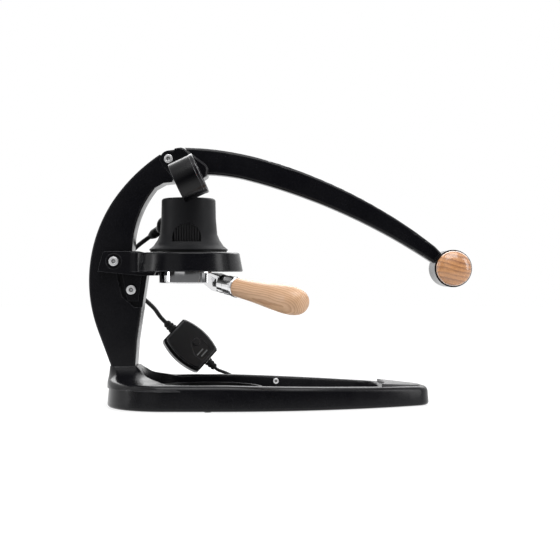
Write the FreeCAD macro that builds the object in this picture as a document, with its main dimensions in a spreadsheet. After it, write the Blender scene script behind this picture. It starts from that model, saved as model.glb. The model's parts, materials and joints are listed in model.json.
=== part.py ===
import FreeCAD, Part
import math
import os
import re

import Sketcher
from FreeCAD import Placement, Rotation, Vector

# Bench lever espresso maker, in millimetres.
# +Z is up, +X runs from the post towards the person who pulls the lever.
# The origin is on the table, at the middle of the rear foot pad under the post.

DIMENSIONS = {
    # base casting, seen from above: a long ring that narrows to a round nose
    "base_rear": -22.0, "base_half": 84.0, "base_corner": 67.0, "base_side": 95.0,
    "base_sweep": 420.0, "base_nose": 328.5, "base_top": 27.5, "base_under": 0.7,
    "base_nose_top": 21.2, "base_slope_start": 110.0, "rim_wall": 13.5, "rim_round": 6.5,
    "base_draft": -4.5, "base_low_round": 3.2, "rim_inner_round": 3.4,
    "well_rear": 13.5, "well_corner": 66.0, "well_front": 272.0, "well_front_corner": 18.0,
    # saddle that carries the post: height, rear, front and half width of each section
    "saddle_low": 21.5, "saddle_low_front": 62.0,
    "saddle_mid": 28.0, "saddle_mid_rear": -21.7, "saddle_mid_front": 42.0, "saddle_mid_half": 68.0,
    "saddle_mid_corner": 50.0,
    "saddle_high": 35.0, "saddle_high_rear": -21.0, "saddle_high_front": 22.0,
    "saddle_high_half": 33.0, "saddle_high_corner": 20.0,
    "foot_top": 43.5, "foot_rear": -20.2, "foot_front": 10.0, "foot_half": 19.0, "foot_corner": 6.0,
    "pad_rear_radius": 17.7, "pad_side_radius": 4.4, "pad_front_radius": 11.0, "pad_seat": 1.6,
    "pad_side_place": 76.0, "pad_side_forward": 90.0, "pad_front_place": 298.0,
    "post_bolt_rear": -11.8, "post_bolt_front": 1.1, "post_bolt_shank": 2.98, "post_bolt_length": 38.0,
    "post_bolt_head": 5.2, "post_bolt_tall": 5.5, "post_bolt_key": 2.9, "post_bolt_sink": 24.0,
    "post_thread_deep": 22.0,
    # post
    "post_thick": 35.0, "post_round": 2.5, "tongue_thick": 16.0, "tongue_radius": 10.0,
    "post_heel": -18.8, "post_toe": 7.6, "post_knee_x": -33.2, "post_knee_z": 82.2,
    "post_back_radius": 157.0, "post_neck_x": -7.8, "post_neck_z": 235.4, "post_top_radius": 190.5,
    "post_belly_x": 9.5, "post_belly_z": 71.0, "post_chest_x": 20.0, "post_ledge_z": 145.6,
    "post_throat_x": 4.2, "post_throat_z": 182.3, "post_throat_radius": 112.0,
    "post_jaw_x": 29.1, "post_jaw_z": 237.0,
    # lever pivot, shoulder and stop
    "pivot_x": 43.8, "pivot_z": 268.8, "cheek_radius": 8.8, "nest_gap": 0.5,
    "shoulder_angle": 154.0, "shoulder_reach": 11.0, "stop_x": 5.5, "stop_z": -20.6,
    "shelf_x": 4.2, "shelf_z": -25.4, "shelf_back_x": -5.3, "shelf_back_z": -26.4,
    "bush_radius": 6.0, "axle_radius": 4.0, "axle_gap": 0.05, "axle_head_radius": 4.7,
    "axle_head_tall": 2.4, "axle_key": 2.4, "axle_sink": 1.2,
    # lever
    "cheek_gap": 16.4, "beam_thick": 20.0, "beam_round": 3.5, "cheek_round": 1.6,
    "beam_top_start_x": 60.1, "beam_top_start_z": 282.1, "beam_top_mid_x": 142.8,
    "beam_top_mid_z": 270.4, "beam_top_end_x": 335.0, "beam_top_end_z": 173.5,
    "beam_top_radius_1": 339.0, "beam_top_radius_2": 542.0,
    "beam_low_start_x": 87.9, "beam_low_start_z": 252.3, "beam_low_mid_x": 127.2,
    "beam_low_mid_z": 246.9, "beam_low_end_x": 336.0, "beam_low_end_z": 153.0,
    "beam_low_radius_1": 198.0, "beam_low_radius_2": 660.0, "fork_depth": 32.0,
    "slot_half": 5.9, "lobe_radius": 10.6, "crest_x": 7.8, "crest_z": 11.0,
    "cheek_step_x": 7.0, "cheek_step_z": 11.2, "cheek_top_x": 13.7, "cheek_top_z": 12.4,
    "cheek_crest_x": 17.5, "cheek_crest_z": 11.0, "cheek_brow_x": 40.5, "cheek_brow_z": -6.2,
    "cheek_front_x": 43.0, "cheek_front_z": -11.0, "cheek_chin_x": 41.6, "cheek_chin_z": -18.6,
    "barrel_x": 352.0, "barrel_z": 149.5, "barrel_radius": 20.2, "barrel_half": 26.0,
    "barrel_bore": 4.1, "grip_radius": 18.8, "grip_length": 15.0, "grip_dome": 8.5,
    "rod_radius": 4.0, "rod_half": 36.0,
    # brew axis, plunger and cross pin
    "brew_x": 64.5, "pin_radius": 4.0, "pin_near": -27.0, "pin_far": 20.5, "pin_cap_radius": 6.5,
    "stem_radius": 6.0, "eye_radius": 8.0, "eye_half": 7.5, "piston_radius": 22.85,
    "piston_low": 161.8, "piston_top": 175.8, "seal_wire": 1.8,
    # brew chamber, heater and cap
    "bell_bore": 29.0, "bell_wall": 31.6, "chamber_bore": 23.0, "chamber_wall": 25.2,
    "chamber_low": 157.0, "chamber_top": 220.0, "collar_radius": 42.0, "collar_low": 167.1,
    "collar_high": 169.3, "heater_radius": 28.1, "heater_low": 178.0, "heater_high": 200.0,
    "cap_low": 217.8, "cap_high": 222.8, "guide_radius": 6.06, "screen_hole": 0.9,
    # soft sleeve and its grip windows
    "sleeve_top": 226.5, "sleeve_top_radius": 29.6, "sleeve_round": 3.2,
    "sleeve_waist_radius": 30.0, "sleeve_waist": 204.0, "sleeve_hip_radius": 31.5,
    "sleeve_hip": 187.0, "sleeve_flare_radius": 34.0, "sleeve_flare": 181.0,
    "sleeve_skirt_radius": 38.3, "sleeve_skirt": 174.5, "sleeve_rim_radius": 43.0,
    "sleeve_rim": 170.6, "sleeve_foot": 169.4, "stem_port": 9.0,
    "window_half": 15.5, "window_low": 178.5, "window_spring": 183.5,
    "grip_groove_width": 1.3, "grip_groove_pitch": 2.8,
    # group arm and its ring
    "arm_half": 26.0, "arm_slot_half": 17.75, "arm_end_top_x": -26.5, "arm_end_low_x": -32.0,
    "arm_top": 168.2, "arm_end_low_z": 146.3, "arm_heel_z": 144.1, "arm_heel_x": -10.9,
    "arm_low": 141.8, "arm_low_x": 30.5, "ring_top": 167.0, "ring_low": 146.0,
    "ring_top_radius": 56.3, "ring_low_radius": 59.6, "ring_round": 2.6, "web_radius": 18.0,
    "ring_bore": 33.2, "groove_radius": 37.8, "groove_low": 148.6, "groove_high": 154.2,
    "ring_seat": 33.6, "lug_low": 149.0, "lug_high": 152.9, "lug_radius": 37.2, "lug_width": 24.0,
    "tang_top": 150.2, "tang_out": 16.2, "tang_in": 12.8, "tang_top_x": -6.4, "tang_low_x": -0.9,
    "tang_low": 114.0, "tang_front": 11.0, "recess_low": 107.2,
    "arm_bolt_x": -14.6, "arm_bolt_z": 157.3, "tang_bolt_x": 3.4, "tang_bolt_z": 126.4,
    "arm_bolt_radius": 3.0, "bolt_head_radius": 5.1, "bolt_sink_radius": 8.4, "bolt_sink": 1.6,
    "bolt_head_tall": 4.2, "bolt_key": 2.6, "arm_bolt_length": 44.0, "tang_bolt_length": 27.0,
    "nut_flange": 2.6, "nut_tall": 3.4,
    # filter holder and basket
    "basket_bore": 29.0, "basket_wall": 29.55, "basket_rim": 32.2, "basket_low": 134.6,
    "basket_high": 154.1, "filter_low": 133.6, "filter_high": 152.9, "filter_bore": 30.9,
    "filter_radius": 32.8, "clip_radius": 30.35, "clip_z": 145.0,
    "neck_angle": -46.0, "neck_reach": 66.0, "neck_half": 8.0, "neck_low": 122.5,
    "neck_high": 144.8, "droop": 8.9, "ferrule_length": 15.0, "ferrule_radius": 10.4,
    "handle_axis_z": 131.6, "handle_length": 99.5, "handle_root_radius": 10.2,
    "handle_waist_radius": 11.3, "handle_swell_radius": 14.6, "handle_tip_radius": 10.5,
    "handle_waist_place": 22.0, "handle_swell_back": 24.0, "handle_tip_round": 4.0,
    "clip_half": 0.45, "clip_corner": 0.19, "neck_top_x": 46.0, "neck_belly_x": 48.0,
    "neck_belly_rise": 3.6, "neck_face_half": 8.4, "collar_length": 9.5, "collar_edge": 1.6,
    "hollow_deep": 4.2, "hollow_rear": 47.0, "hollow_front_wall": 10.5, "hollow_roof": 3.6,
    "hollow_floor": 7.5, "stud_radius": 4.15, "stud_in_neck": 9.0, "stud_length": 56.0,
    "handle_bore_deep": 44.0, "ferrule_lip": 0.6,
    # gauge
    "gauge_y": -46.0, "gauge_x_shift": 3.2, "gauge_z_shift": -2.8, "gauge_tilt": 25.0,
    "gauge_radius": 22.2, "gauge_depth": 28.0, "gauge_wall": 1.6, "gauge_edge": 1.2,
    "boss_wall": 3.0, "boss_deep": 4.6, "bezel_width": 3.0, "bezel_deep": 3.9, "lens_low": 3.0,
    "lens_high": 1.4, "dial_low": 8.6, "dial_high": 7.8, "socket_radius": 6.0,
    "spindle_radius": 2.2, "bourdon_in": 12.0, "bourdon_out": 14.4, "bourdon_half": 2.5,
    "needle_hub": 2.4, "needle_low": 7.2, "needle_high": 5.4, "needle_tip": 10.8,
    "needle_tail": 5.2,
    # drip tray, screws in the well and front plate
    "tray_x": 82.0, "tray_radius": 63.8, "tray_top": 19.5, "tray_low": 7.2, "ledge_reach": 11.0,
    "ledge_half": 14.0, "ledge_side_half": 12.0,
    "well_screw_x": 160.4, "well_screw_z": 20.5, "plate_floor": 20.2,
    "plate_start": 274.2, "plate_inset": 9.6, "plate_rear_radius": 110.0, "plate_rear_top": 25.8,
    "plate_front_top": 21.9, "plate_edge": 0.5,
    # heater plug and controller
    "plug_seat": 29.0, "plug_reach": 38.0, "plug_radius": 10.0, "plug_z": 197.0,
    "lead_exit_x": 19.7, "lead_exit_y": 24.0, "lead_exit_z": 185.6,
    "box_x": 61.0, "box_y": 77.0, "box_z": 60.9, "box_slant": 42.5, "box_roll": 20.0,
    "box_length": 54.0, "box_end_half": 18.5, "box_side_radius": 69.0, "box_front": 9.0,
    "box_back": 12.0, "box_gap": 0.8, "button_x": 2.4, "button_y": 5.5, "button_radius": 4.2,
    "light_x": 13.6, "light_y": -0.6, "light_step_x": 4.4, "light_step_y": 2.4,
    "light_half": 5.1, "light_wide": 0.6, "light_seat": 1.9, "button_travel_room": 3.4,
    "box_wall": 2.2, "box_step": 1.6, "board_rear": -20.0, "board_front": 19.0,
    "board_half": 11.0, "board_z": -4.0, "board_thick": 1.6, "chip_tall": 2.2,
    "boot_length": 12.0, "boot_flange": 3.0, "boot_rib": 2.7, "boot_groove": 2.2, "boot_taper": 0.5,
    # leads
    "lead_diameter": 5.0, "supply_diameter": 3.8, "coil_x": 150.0, "coil_y": 140.4,
    "coil_outer": 25.4, "coil_turns_per_layer": 2.0, "coil_layers": 4.0, "coil_pitch": 4.4,
    "coil_floor": 2.0, "coil_rise": 4.35, "plug_axis": 4.6, "supply_plug_radius": 4.5,
    "barrel_tip_radius": 2.75, "barrel_tip_hole": 1.05, "relief_length": 10.0,
    "plug_body_end": 30.0, "barrel_end": 39.5,
}

doc = FreeCAD.newDocument("lever_espresso_maker")
sheet = doc.addObject("Spreadsheet::Sheet", "Sizes")
for row, (alias, number) in enumerate(DIMENSIONS.items(), start=1):
    sheet.set(f"A{row}", alias)
    sheet.set(f"B{row}", str(number))
    sheet.setAlias(f"B{row}", alias)
doc.recompute()

NODES = []


def linked(formula):
    """A formula in sheet names, with each name pointed at the sheet."""
    return re.sub(r"[a-z][a-z_0-9]*", lambda m: f"Sizes.{m[0]}" if m[0] in DIMENSIONS else m[0],
                  str(formula))


def size(formula):
    """The number that a formula in sheet names gives."""
    return float(sheet.evalExpression(linked(formula)))


def bind(thing, **formulas):
    """Bind properties of an object to formulas in sheet names."""
    for name, formula in formulas.items():
        thing.setExpression(name, linked(formula))
    return thing


def place(thing, x=0, y=0, z=0, turn=None):
    """Put a finished object where the sheet says, turned by a fixed rotation."""
    thing.Placement = Placement(Vector(size(x), size(y), size(z)), turn or Rotation())
    thing.setExpression("Placement.Base.x", linked(x))
    thing.setExpression("Placement.Base.y", linked(y))
    thing.setExpression("Placement.Base.z", linked(z))
    return thing


def node(thing, label):
    """Name an object as one of the parts that are written out."""
    thing.Label = label
    NODES.append(thing)
    return thing


def new_body(label, is_node=True):
    """A body for one piece."""
    body = doc.addObject("PartDesign::Body", label)
    return node(body, label) if is_node else body


def sketch(body, role, height=0):
    """A sketch on one of the body's own origin planes, moved along its normal."""
    made = body.newObject("Sketcher::SketchObject", body.Name + "_sketch")
    plane = [item for item in body.Origin.OriginFeatures if item.Role == role][0]
    made.AttachmentSupport = [(plane, "")]
    made.MapMode = "FlatFace"
    made.AttachmentOffset = Placement(Vector(0, 0, size(height)), Rotation())
    made.setExpression("AttachmentOffset.Base.z", linked(height))
    return made


def arc_between(first, last, radius):
    """An arc between two points; a positive radius turns left on the way, a negative one right."""
    chord = last - first
    middle = (first + last) * 0.5
    left = Vector(-chord.y, chord.x, 0).normalize()
    rise = math.sqrt(max(radius ** 2 - (chord.Length / 2) ** 2, 0.0))
    centre = middle + left * (rise if radius > 0 else -rise)
    ends = (first, last) if radius > 0 else (last, first)
    angles = [math.atan2(point.y - centre.y, point.x - centre.x) for point in ends]
    return Part.ArcOfCircle(Part.Circle(centre, Vector(0, 0, 1), abs(radius)), *angles)


def outline(made, corners):
    """A closed outline: each corner is (x, y) or (x, y, radius of the arc to the next corner)."""
    points = [Vector(size(corner[0]), size(corner[1]), 0) for corner in corners]
    ends = []
    for index, corner in enumerate(corners):
        first, last = points[index], points[(index + 1) % len(points)]
        if len(corner) == 2:
            edge = made.addGeometry(Part.LineSegment(first, last))
            ends.append((edge, 1, 2))
            continue
        radius = size(corner[2])
        edge = made.addGeometry(arc_between(first, last, radius))
        ends.append((edge, 1, 2) if radius > 0 else (edge, 2, 1))
        wide = made.addConstraint(Sketcher.Constraint("Radius", edge, abs(radius)))
        made.setExpression(f"Constraints[{wide}]", linked(f"abs({corner[2]})"))
    for index, (edge, start, end) in enumerate(ends):
        after = ends[(index + 1) % len(ends)]
        made.addConstraint(Sketcher.Constraint("Coincident", edge, end, after[0], after[1]))
        for kind, part in (("DistanceX", 0), ("DistanceY", 1)):
            held = Sketcher.Constraint(kind, -1, 1, edge, start, points[index][part])
            number = made.addConstraint(held)
            made.setExpression(f"Constraints[{number}]", linked(corners[index][part]))
    return made


def circle(made, x, y, radius):
    """A circle in a sketch, with its centre and radius held by the sheet."""
    centre = Vector(size(x), size(y), 0)
    edge = made.addGeometry(Part.Circle(centre, Vector(0, 0, 1), size(radius)))
    for kind, formula, held in (("DistanceX", x, centre.x), ("DistanceY", y, centre.y)):
        number = made.addConstraint(Sketcher.Constraint(kind, -1, 1, edge, 3, held))
        made.setExpression(f"Constraints[{number}]", linked(formula))
    number = made.addConstraint(Sketcher.Constraint("Radius", edge, size(radius)))
    made.setExpression(f"Constraints[{number}]", linked(radius))
    return made


def extrude(body, profile, length, kind="Pad", both_ways=False, reverse=False):
    """A pad or pocket from a sketch. A pocket has to remove something."""
    doc.recompute()
    before = body.Shape.Volume if kind == "Pocket" else 0.0
    made = body.newObject(f"PartDesign::{kind}", f"{body.Name}_{kind.lower()}")
    made.Profile = (profile, [""])
    made.Midplane = both_ways
    made.Reversed = reverse
    bind(made, Length=length)
    doc.recompute()
    if kind == "Pocket" and body.Shape.Volume > before - 0.01:
        raise RuntimeError(f"{body.Label}: {made.Label} removes nothing")
    return made


def turned(label, corners, is_node=True, x="brew_x", y=0, z=0, turn=None):
    """A turned piece: its half section in radius and height, spun about its own Z axis."""
    body = new_body(label, is_node)
    half = outline(sketch(body, "XZ_Plane"), corners)
    spun = body.newObject("PartDesign::Revolution", label + "_turned")
    spun.Profile = (half, [""])
    spun.ReferenceAxis = (half, ["V_Axis"])
    spun.Angle = 360
    if x is not None:
        place(body, x, y, z, turn)
    doc.recompute()
    return body


def soften(body, radius, wanted, kind="Fillet"):
    """Round or bevel the edges that the test wanted picks from the body's tip."""
    doc.recompute()
    base = body.Tip
    names = [f"Edge{number}" for number, edge in enumerate(base.Shape.Edges, start=1)
             if wanted(edge)]
    made = body.newObject(f"PartDesign::{kind}", f"{body.Name}_{kind.lower()}")
    made.Base = (base, names)
    bind(made, **{"Radius" if kind == "Fillet" else "Size": radius})
    doc.recompute()
    if not 0.8 * base.Shape.Volume < body.Shape.Volume < 1.2 * base.Shape.Volume:
        raise RuntimeError(f"{body.Label}: {made.Label} breaks the body")
    return made


def group(label, pieces):
    """Identical pieces kept under one name as separate solids."""
    made = doc.addObject("Part::Compound", label)
    made.Links = pieces
    return node(made, label)


def cap_screw(label, shank, length, head_radius, head_height, socket, is_node=False):
    """A socket head screw along +Z: its head stands on Z = 0 and its shank hangs below."""
    corners = [(0, f"-({length})"), (shank, f"-({length})"), (shank, 0), (head_radius, 0),
               (head_radius, head_height), (0, head_height)]
    body = turned(label, corners, is_node, x=0)
    soften(body, "0.6", lambda edge: edge.BoundBox.ZMin > size(head_height) - 0.01
           and edge.BoundBox.XLength > size(head_radius))
    key = body.newObject("PartDesign::SubtractivePrism", label + "_socket")
    key.Polygon = 6
    key.Circumradius = size(socket)
    key.Height = size(head_height) * 0.6
    key.AttachmentOffset = Placement(Vector(0, 0, size(head_height) * 0.4 + 0.01), Rotation())
    key.MapMode = "FlatFace"
    key.AttachmentSupport = [([f for f in body.Origin.OriginFeatures if f.Role == "XY_Plane"][0], "")]
    doc.recompute()
    return body


def mirrored_outline(upper):
    """A closed outline from its upper half, listed from rear to nose, mirrored in the X axis."""
    lower = []
    for index in range(len(upper) - 1, -1, -1):
        x, y = upper[index][0], f"-({upper[index][1]})"
        arc = upper[index - 1][2:] if index else ()
        lower.append((x, y, *arc))
    return upper + lower


NOSE_RADIUS = ("((base_sweep^2 - (base_nose - base_side)^2 - (base_sweep - base_half)^2)"
               " / (2 * (base_sweep - base_nose + base_side)))")
NOSE_SHARE = f"(base_sweep / (base_sweep - {NOSE_RADIUS}))"
WELL_SCREW_FACE = ("(sqrt((base_sweep - rim_wall)^2 - (well_screw_x - base_side)^2)"
                   " - base_sweep + base_half - 0.9)")
FACE_NEAR = Rotation(Vector(1, 0, 0), 90)
FACE_FAR = Rotation(Vector(1, 0, 0), -90)


def base_outline():
    """Outer edge of the base: flat heel, round rear corners, long sweeps and a round nose."""
    tangent_x = f"base_side + (base_nose - {NOSE_RADIUS} - base_side) * {NOSE_SHARE}"
    tangent_y = f"(base_sweep - base_half) * ({NOSE_SHARE} - 1)"
    return mirrored_outline([
        ("base_rear", "base_half - base_corner", "-base_corner"),
        ("base_rear + base_corner", "base_half"),
        ("base_side", "base_half", "-base_sweep"),
        (tangent_x, tangent_y, f"-{NOSE_RADIUS}"),
    ])


def well_outline():
    """Inner edge of the base: the well that takes the drip tray and runs on towards the nose."""
    inner = "(base_sweep - rim_wall)"
    turn_x = "well_front - well_front_corner"
    turn_y = f"sqrt({inner}^2 - ({turn_x} - base_side)^2) - base_sweep + base_half"
    half = "base_half - rim_wall"
    return mirrored_outline([
        ("well_rear", f"{half} - well_corner", "-well_corner"),
        ("well_rear + well_corner", half),
        ("base_side", half, f"-{inner}"),
        (turn_x, turn_y, "-well_front_corner"),
        ("well_front", f"{turn_y} - well_front_corner"),
    ])


def rounded_slab(rear, front, half, corner):
    """A rounded rectangle that lies across the X axis."""
    return [(rear, f"{half} - {corner}", f"-{corner}"), (f"{rear} + {corner}", half),
            (f"{front} - 2", half, "-2"), (front, f"{half} - 2"),
            (front, f"2 - {half}", "-2"), (f"{front} - 2", f"-{half}"),
            (f"{rear} + {corner}", f"-{half}", f"-{corner}"), (rear, f"{corner} - {half}")]


def base_frame():
    """The base casting: a ring with a sloping rim and a saddle that rises to the post's foot."""
    body = new_body("base_frame")
    slab = extrude(body, outline(sketch(body, "XY_Plane", "base_under"), base_outline()),
                   "base_top - base_under")
    bind(slab, TaperAngle="base_draft")
    slope = outline(sketch(body, "XZ_Plane"), [
        ("base_slope_start", "base_top"), ("base_nose + 5", "base_nose_top"),
        ("base_nose + 5", "base_top + 20"), ("base_slope_start", "base_top + 20")])
    extrude(body, slope, "4 * base_half", "Pocket", both_ways=True)
    soften(body, "rim_round", lambda edge: edge.BoundBox.ZMin > size("base_nose_top") - 0.6
           and edge.BoundBox.YLength > 8 and edge.BoundBox.XMax > size("base_slope_start") - 20
           or (edge.BoundBox.ZMin > size("base_top") - 0.1 and edge.BoundBox.XMax < 60)
           or (edge.BoundBox.ZMin > size("base_top") - 0.1 and edge.BoundBox.XLength > 20
               and edge.BoundBox.YLength < 1))
    soften(body, "base_low_round", lambda edge: edge.BoundBox.ZMax < size("base_under") + 0.1)
    sections = [
        ("saddle_low", "base_rear", "saddle_low_front", "base_half", "base_corner"),
        ("saddle_mid", "saddle_mid_rear", "saddle_mid_front", "saddle_mid_half",
         "saddle_mid_corner"),
        ("saddle_high", "saddle_high_rear", "saddle_high_front", "saddle_high_half",
         "saddle_high_corner"),
        ("foot_top", "foot_rear", "foot_front", "foot_half", "foot_corner"),
    ]
    rings = [outline(sketch(body, "XY_Plane", height), rounded_slab(rear, front, half, corner))
             for height, rear, front, half, corner in sections]
    saddle = body.newObject("PartDesign::AdditiveLoft", "base_saddle")
    saddle.Profile = (rings[0], [""])
    saddle.Sections = rings[1:]
    saddle.Ruled = False
    well = outline(sketch(body, "XY_Plane", "base_top + 40"), well_outline())
    extrude(body, well, "base_top + 60", "Pocket")
    soften(body, "rim_inner_round", lambda edge: edge.BoundBox.ZMin > size("base_nose_top") - 0.6
           and edge.BoundBox.ZMax < size("base_top") + 0.1
           and edge.BoundBox.XMin > size("saddle_low_front") - 1
           and edge.BoundBox.XMax < size("well_front") + 0.1
           and edge.BoundBox.XLength + edge.BoundBox.YLength > 5
           and max(abs(edge.BoundBox.YMin), abs(edge.BoundBox.YMax))
           < size("base_half - rim_wall") + 0.1)
    ledge = "tray_low - base_under - 0.1"
    ledges = sketch(body, "XY_Plane", "base_under")
    outline(ledges, [("well_rear - 1", "-ledge_half"), ("well_rear + ledge_reach", "-ledge_half"),
                     ("well_rear + ledge_reach", "ledge_half"), ("well_rear - 1", "ledge_half")])
    side = "(base_half - rim_wall)"
    for sign in ("", "-"):
        rear, front = "tray_x - ledge_side_half", "tray_x + ledge_side_half"
        outer, inner = f"{sign}({side} + 1)", f"{sign}({side} - ledge_reach - 4)"
        outline(ledges, [(rear, outer), (front, outer), (front, inner), (rear, inner)])
    extrude(body, ledges, ledge)
    seats = sketch(body, "XY_Plane", "base_under")
    circle(seats, 0, 0, "pad_rear_radius")
    circle(seats, "pad_front_place", 0, "pad_front_radius")
    circle(seats, "pad_side_forward", "pad_side_place", "pad_side_radius")
    circle(seats, "pad_side_forward", "-pad_side_place", "pad_side_radius")
    extrude(body, seats, "pad_seat", "Pocket", reverse=True)
    screw_ways = circle(sketch(body, "XZ_Plane"), "well_screw_x", "well_screw_z", "1.95")
    extrude(body, screw_ways, f"2 * ({WELL_SCREW_FACE} + 6.4)", "Pocket", both_ways=True)
    plate_seat = outline(sketch(body, "XY_Plane", "base_top + 5"), nose_plate_outline("0"))
    extrude(body, plate_seat, "base_top + 5 - plate_floor", "Pocket")
    bolt_ways = sketch(body, "XY_Plane", "base_under")
    circle(bolt_ways, "post_bolt_rear", 0, "post_bolt_shank + 0.12")
    circle(bolt_ways, "post_bolt_front", 0, "post_bolt_shank + 0.12")
    extrude(body, bolt_ways, "foot_top + 10", "Pocket", reverse=True)
    sinks = sketch(body, "XY_Plane", "base_under")
    circle(sinks, "post_bolt_rear", 0, "post_bolt_head + 0.4")
    circle(sinks, "post_bolt_front", 0, "post_bolt_head + 0.4")
    extrude(body, sinks, "post_bolt_sink", "Pocket", reverse=True)
    return body


def base_feet():
    """Four rubber pads set into the underside."""
    places = [("rear", 0, 0, "pad_rear_radius"), ("front", "pad_front_place", 0, "pad_front_radius"),
              ("left", "pad_side_forward", "pad_side_place", "pad_side_radius"),
              ("right", "pad_side_forward", "-pad_side_place", "pad_side_radius")]
    pads = []
    for side, x, y, radius in places:
        pads.append(turned(f"foot_pad_{side}", [
            (0, 0), (f"{radius} - 0.9", 0, "0.6"), (f"{radius} - 0.3", "0.6"),
            (f"{radius} - 0.3", "base_under + pad_seat"), (0, "base_under + pad_seat")],
            False, x, y))
    return group("base_feet", pads)


def post():
    """The C-shaped post, with a tongue for the lever and recesses for the group arm."""
    body = new_body("post")
    shoulder_x = "pivot_x + shoulder_reach * cos(shoulder_angle)"
    shoulder_z = "pivot_z + shoulder_reach * sin(shoulder_angle)"
    nest = "(cheek_radius + nest_gap)"
    profile = outline(sketch(body, "XZ_Plane"), [
        ("post_heel", "foot_top"), ("post_knee_x", "post_knee_z", "-post_back_radius"),
        ("post_neck_x", "post_neck_z", "-post_top_radius"),
        (shoulder_x, shoulder_z),
        (f"pivot_x + {nest} * cos(shoulder_angle)", f"pivot_z + {nest} * sin(shoulder_angle)",
         f"{nest}"),
        (f"pivot_x + {nest} * cos(225)", f"pivot_z + {nest} * sin(225)"),
        ("pivot_x + stop_x", "pivot_z + stop_z"), ("pivot_x + shelf_x", "pivot_z + shelf_z"),
        ("pivot_x + shelf_back_x", "pivot_z + shelf_back_z"),
        ("post_jaw_x", "post_jaw_z", "post_throat_radius"),
        ("post_throat_x + 1", "post_throat_z"), ("post_throat_x", "arm_top"),
        ("post_throat_x", "post_ledge_z"), ("post_chest_x + 0.3", "post_ledge_z"),
        ("post_chest_x", "arm_low"), ("post_belly_x", "post_belly_z"), ("post_toe", "foot_top")])
    extrude(body, profile, "post_thick", both_ways=True)
    soften(body, "post_round", lambda edge: abs(abs(edge.CenterOfMass.y) - size("post_thick / 2"))
           < 0.01 and (edge.CenterOfMass.x < size("post_throat_x - 14")
                       or size("post_throat_z") < edge.CenterOfMass.z < size("post_jaw_z - 5")
                       or edge.CenterOfMass.x > 3 and edge.CenterOfMass.z < size("arm_low - 12")))
    tongue = outline(sketch(body, "XZ_Plane"), [
        ("pivot_x - tongue_radius * cos(26)", "pivot_z + tongue_radius * sin(26)",
         "-tongue_radius"),
        ("pivot_x - tongue_radius * cos(84)", "pivot_z + tongue_radius * sin(84)"),
        ("pivot_x + crest_x", "pivot_z + crest_z"),
        ("pivot_x + tongue_radius * cos(20)", "pivot_z + tongue_radius * sin(20)",
         "-tongue_radius"),
        ("pivot_x + tongue_radius * cos(50)", "pivot_z - tongue_radius * sin(50)"),
        ("pivot_x + stop_x - 0.3", "pivot_z + stop_z + 1"), ("pivot_x - 6", "pivot_z - 24"),
        ("pivot_x - 14", "pivot_z - 8")])
    extrude(body, tongue, "tongue_thick", both_ways=True)
    recess = [("tang_top_x - 5.8", "tang_top + 0.4"), ("tang_top_x - 5.8", "arm_low"),
              ("tang_top_x - 0.4", "recess_low + 12"), ("tang_low_x + 8", "recess_low"),
              ("post_chest_x + 4", "recess_low"), ("post_chest_x + 4", "tang_top + 0.4")]
    for height, outward in (("tang_in - 0.3", True), ("0.3 - tang_in", False)):
        extrude(body, outline(sketch(body, "XZ_Plane", height), recess), "10", "Pocket",
                reverse=outward)
    ways = sketch(body, "XZ_Plane")
    circle(ways, "arm_bolt_x", "arm_bolt_z", "arm_bolt_radius + 0.1")
    circle(ways, "tang_bolt_x", "tang_bolt_z", "arm_bolt_radius + 0.1")
    circle(ways, "pivot_x", "pivot_z", "bush_radius")
    extrude(body, ways, "2 * post_thick", "Pocket", both_ways=True)
    threads = sketch(body, "XY_Plane", "foot_top")
    circle(threads, "post_bolt_rear", 0, "post_bolt_shank + 0.02")
    circle(threads, "post_bolt_front", 0, "post_bolt_shank + 0.02")
    extrude(body, threads, "post_thread_deep", "Pocket", reverse=True)
    return body


def post_bolts():
    """Two screws that come up through the base into the post's foot."""
    down = Rotation(Vector(1, 0, 0), 180)
    bolts = []
    for side in ("rear", "front"):
        bolt = cap_screw(f"post_bolt_{side}", "post_bolt_shank", "post_bolt_length",
                         "post_bolt_head", "post_bolt_tall", "post_bolt_key")
        bolts.append(place(bolt, f"post_bolt_{side}", 0, "base_under + post_bolt_sink", down))
    return group("post_bolts", bolts)


def bayonet_gap(body, angle, height, deep):
    """One gap in the ring's lip that lets a lug of the filter holder pass up."""
    gap = sketch(body, "XY_Plane", height)
    spread = "(lug_width + 2.4) / 2"
    far = "(groove_radius + 0.2)"
    corners = []
    for along, across in ((far, f"-{spread}"), (far, spread), ("20", spread),
                          ("20", f"-{spread}")):
        corners.append((f"brew_x + {along} * cos({angle}) - ({across}) * sin({angle})",
                        f"{along} * sin({angle}) + ({across}) * cos({angle})"))
    outline(gap, corners)
    extrude(body, gap, deep, "Pocket")


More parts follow.
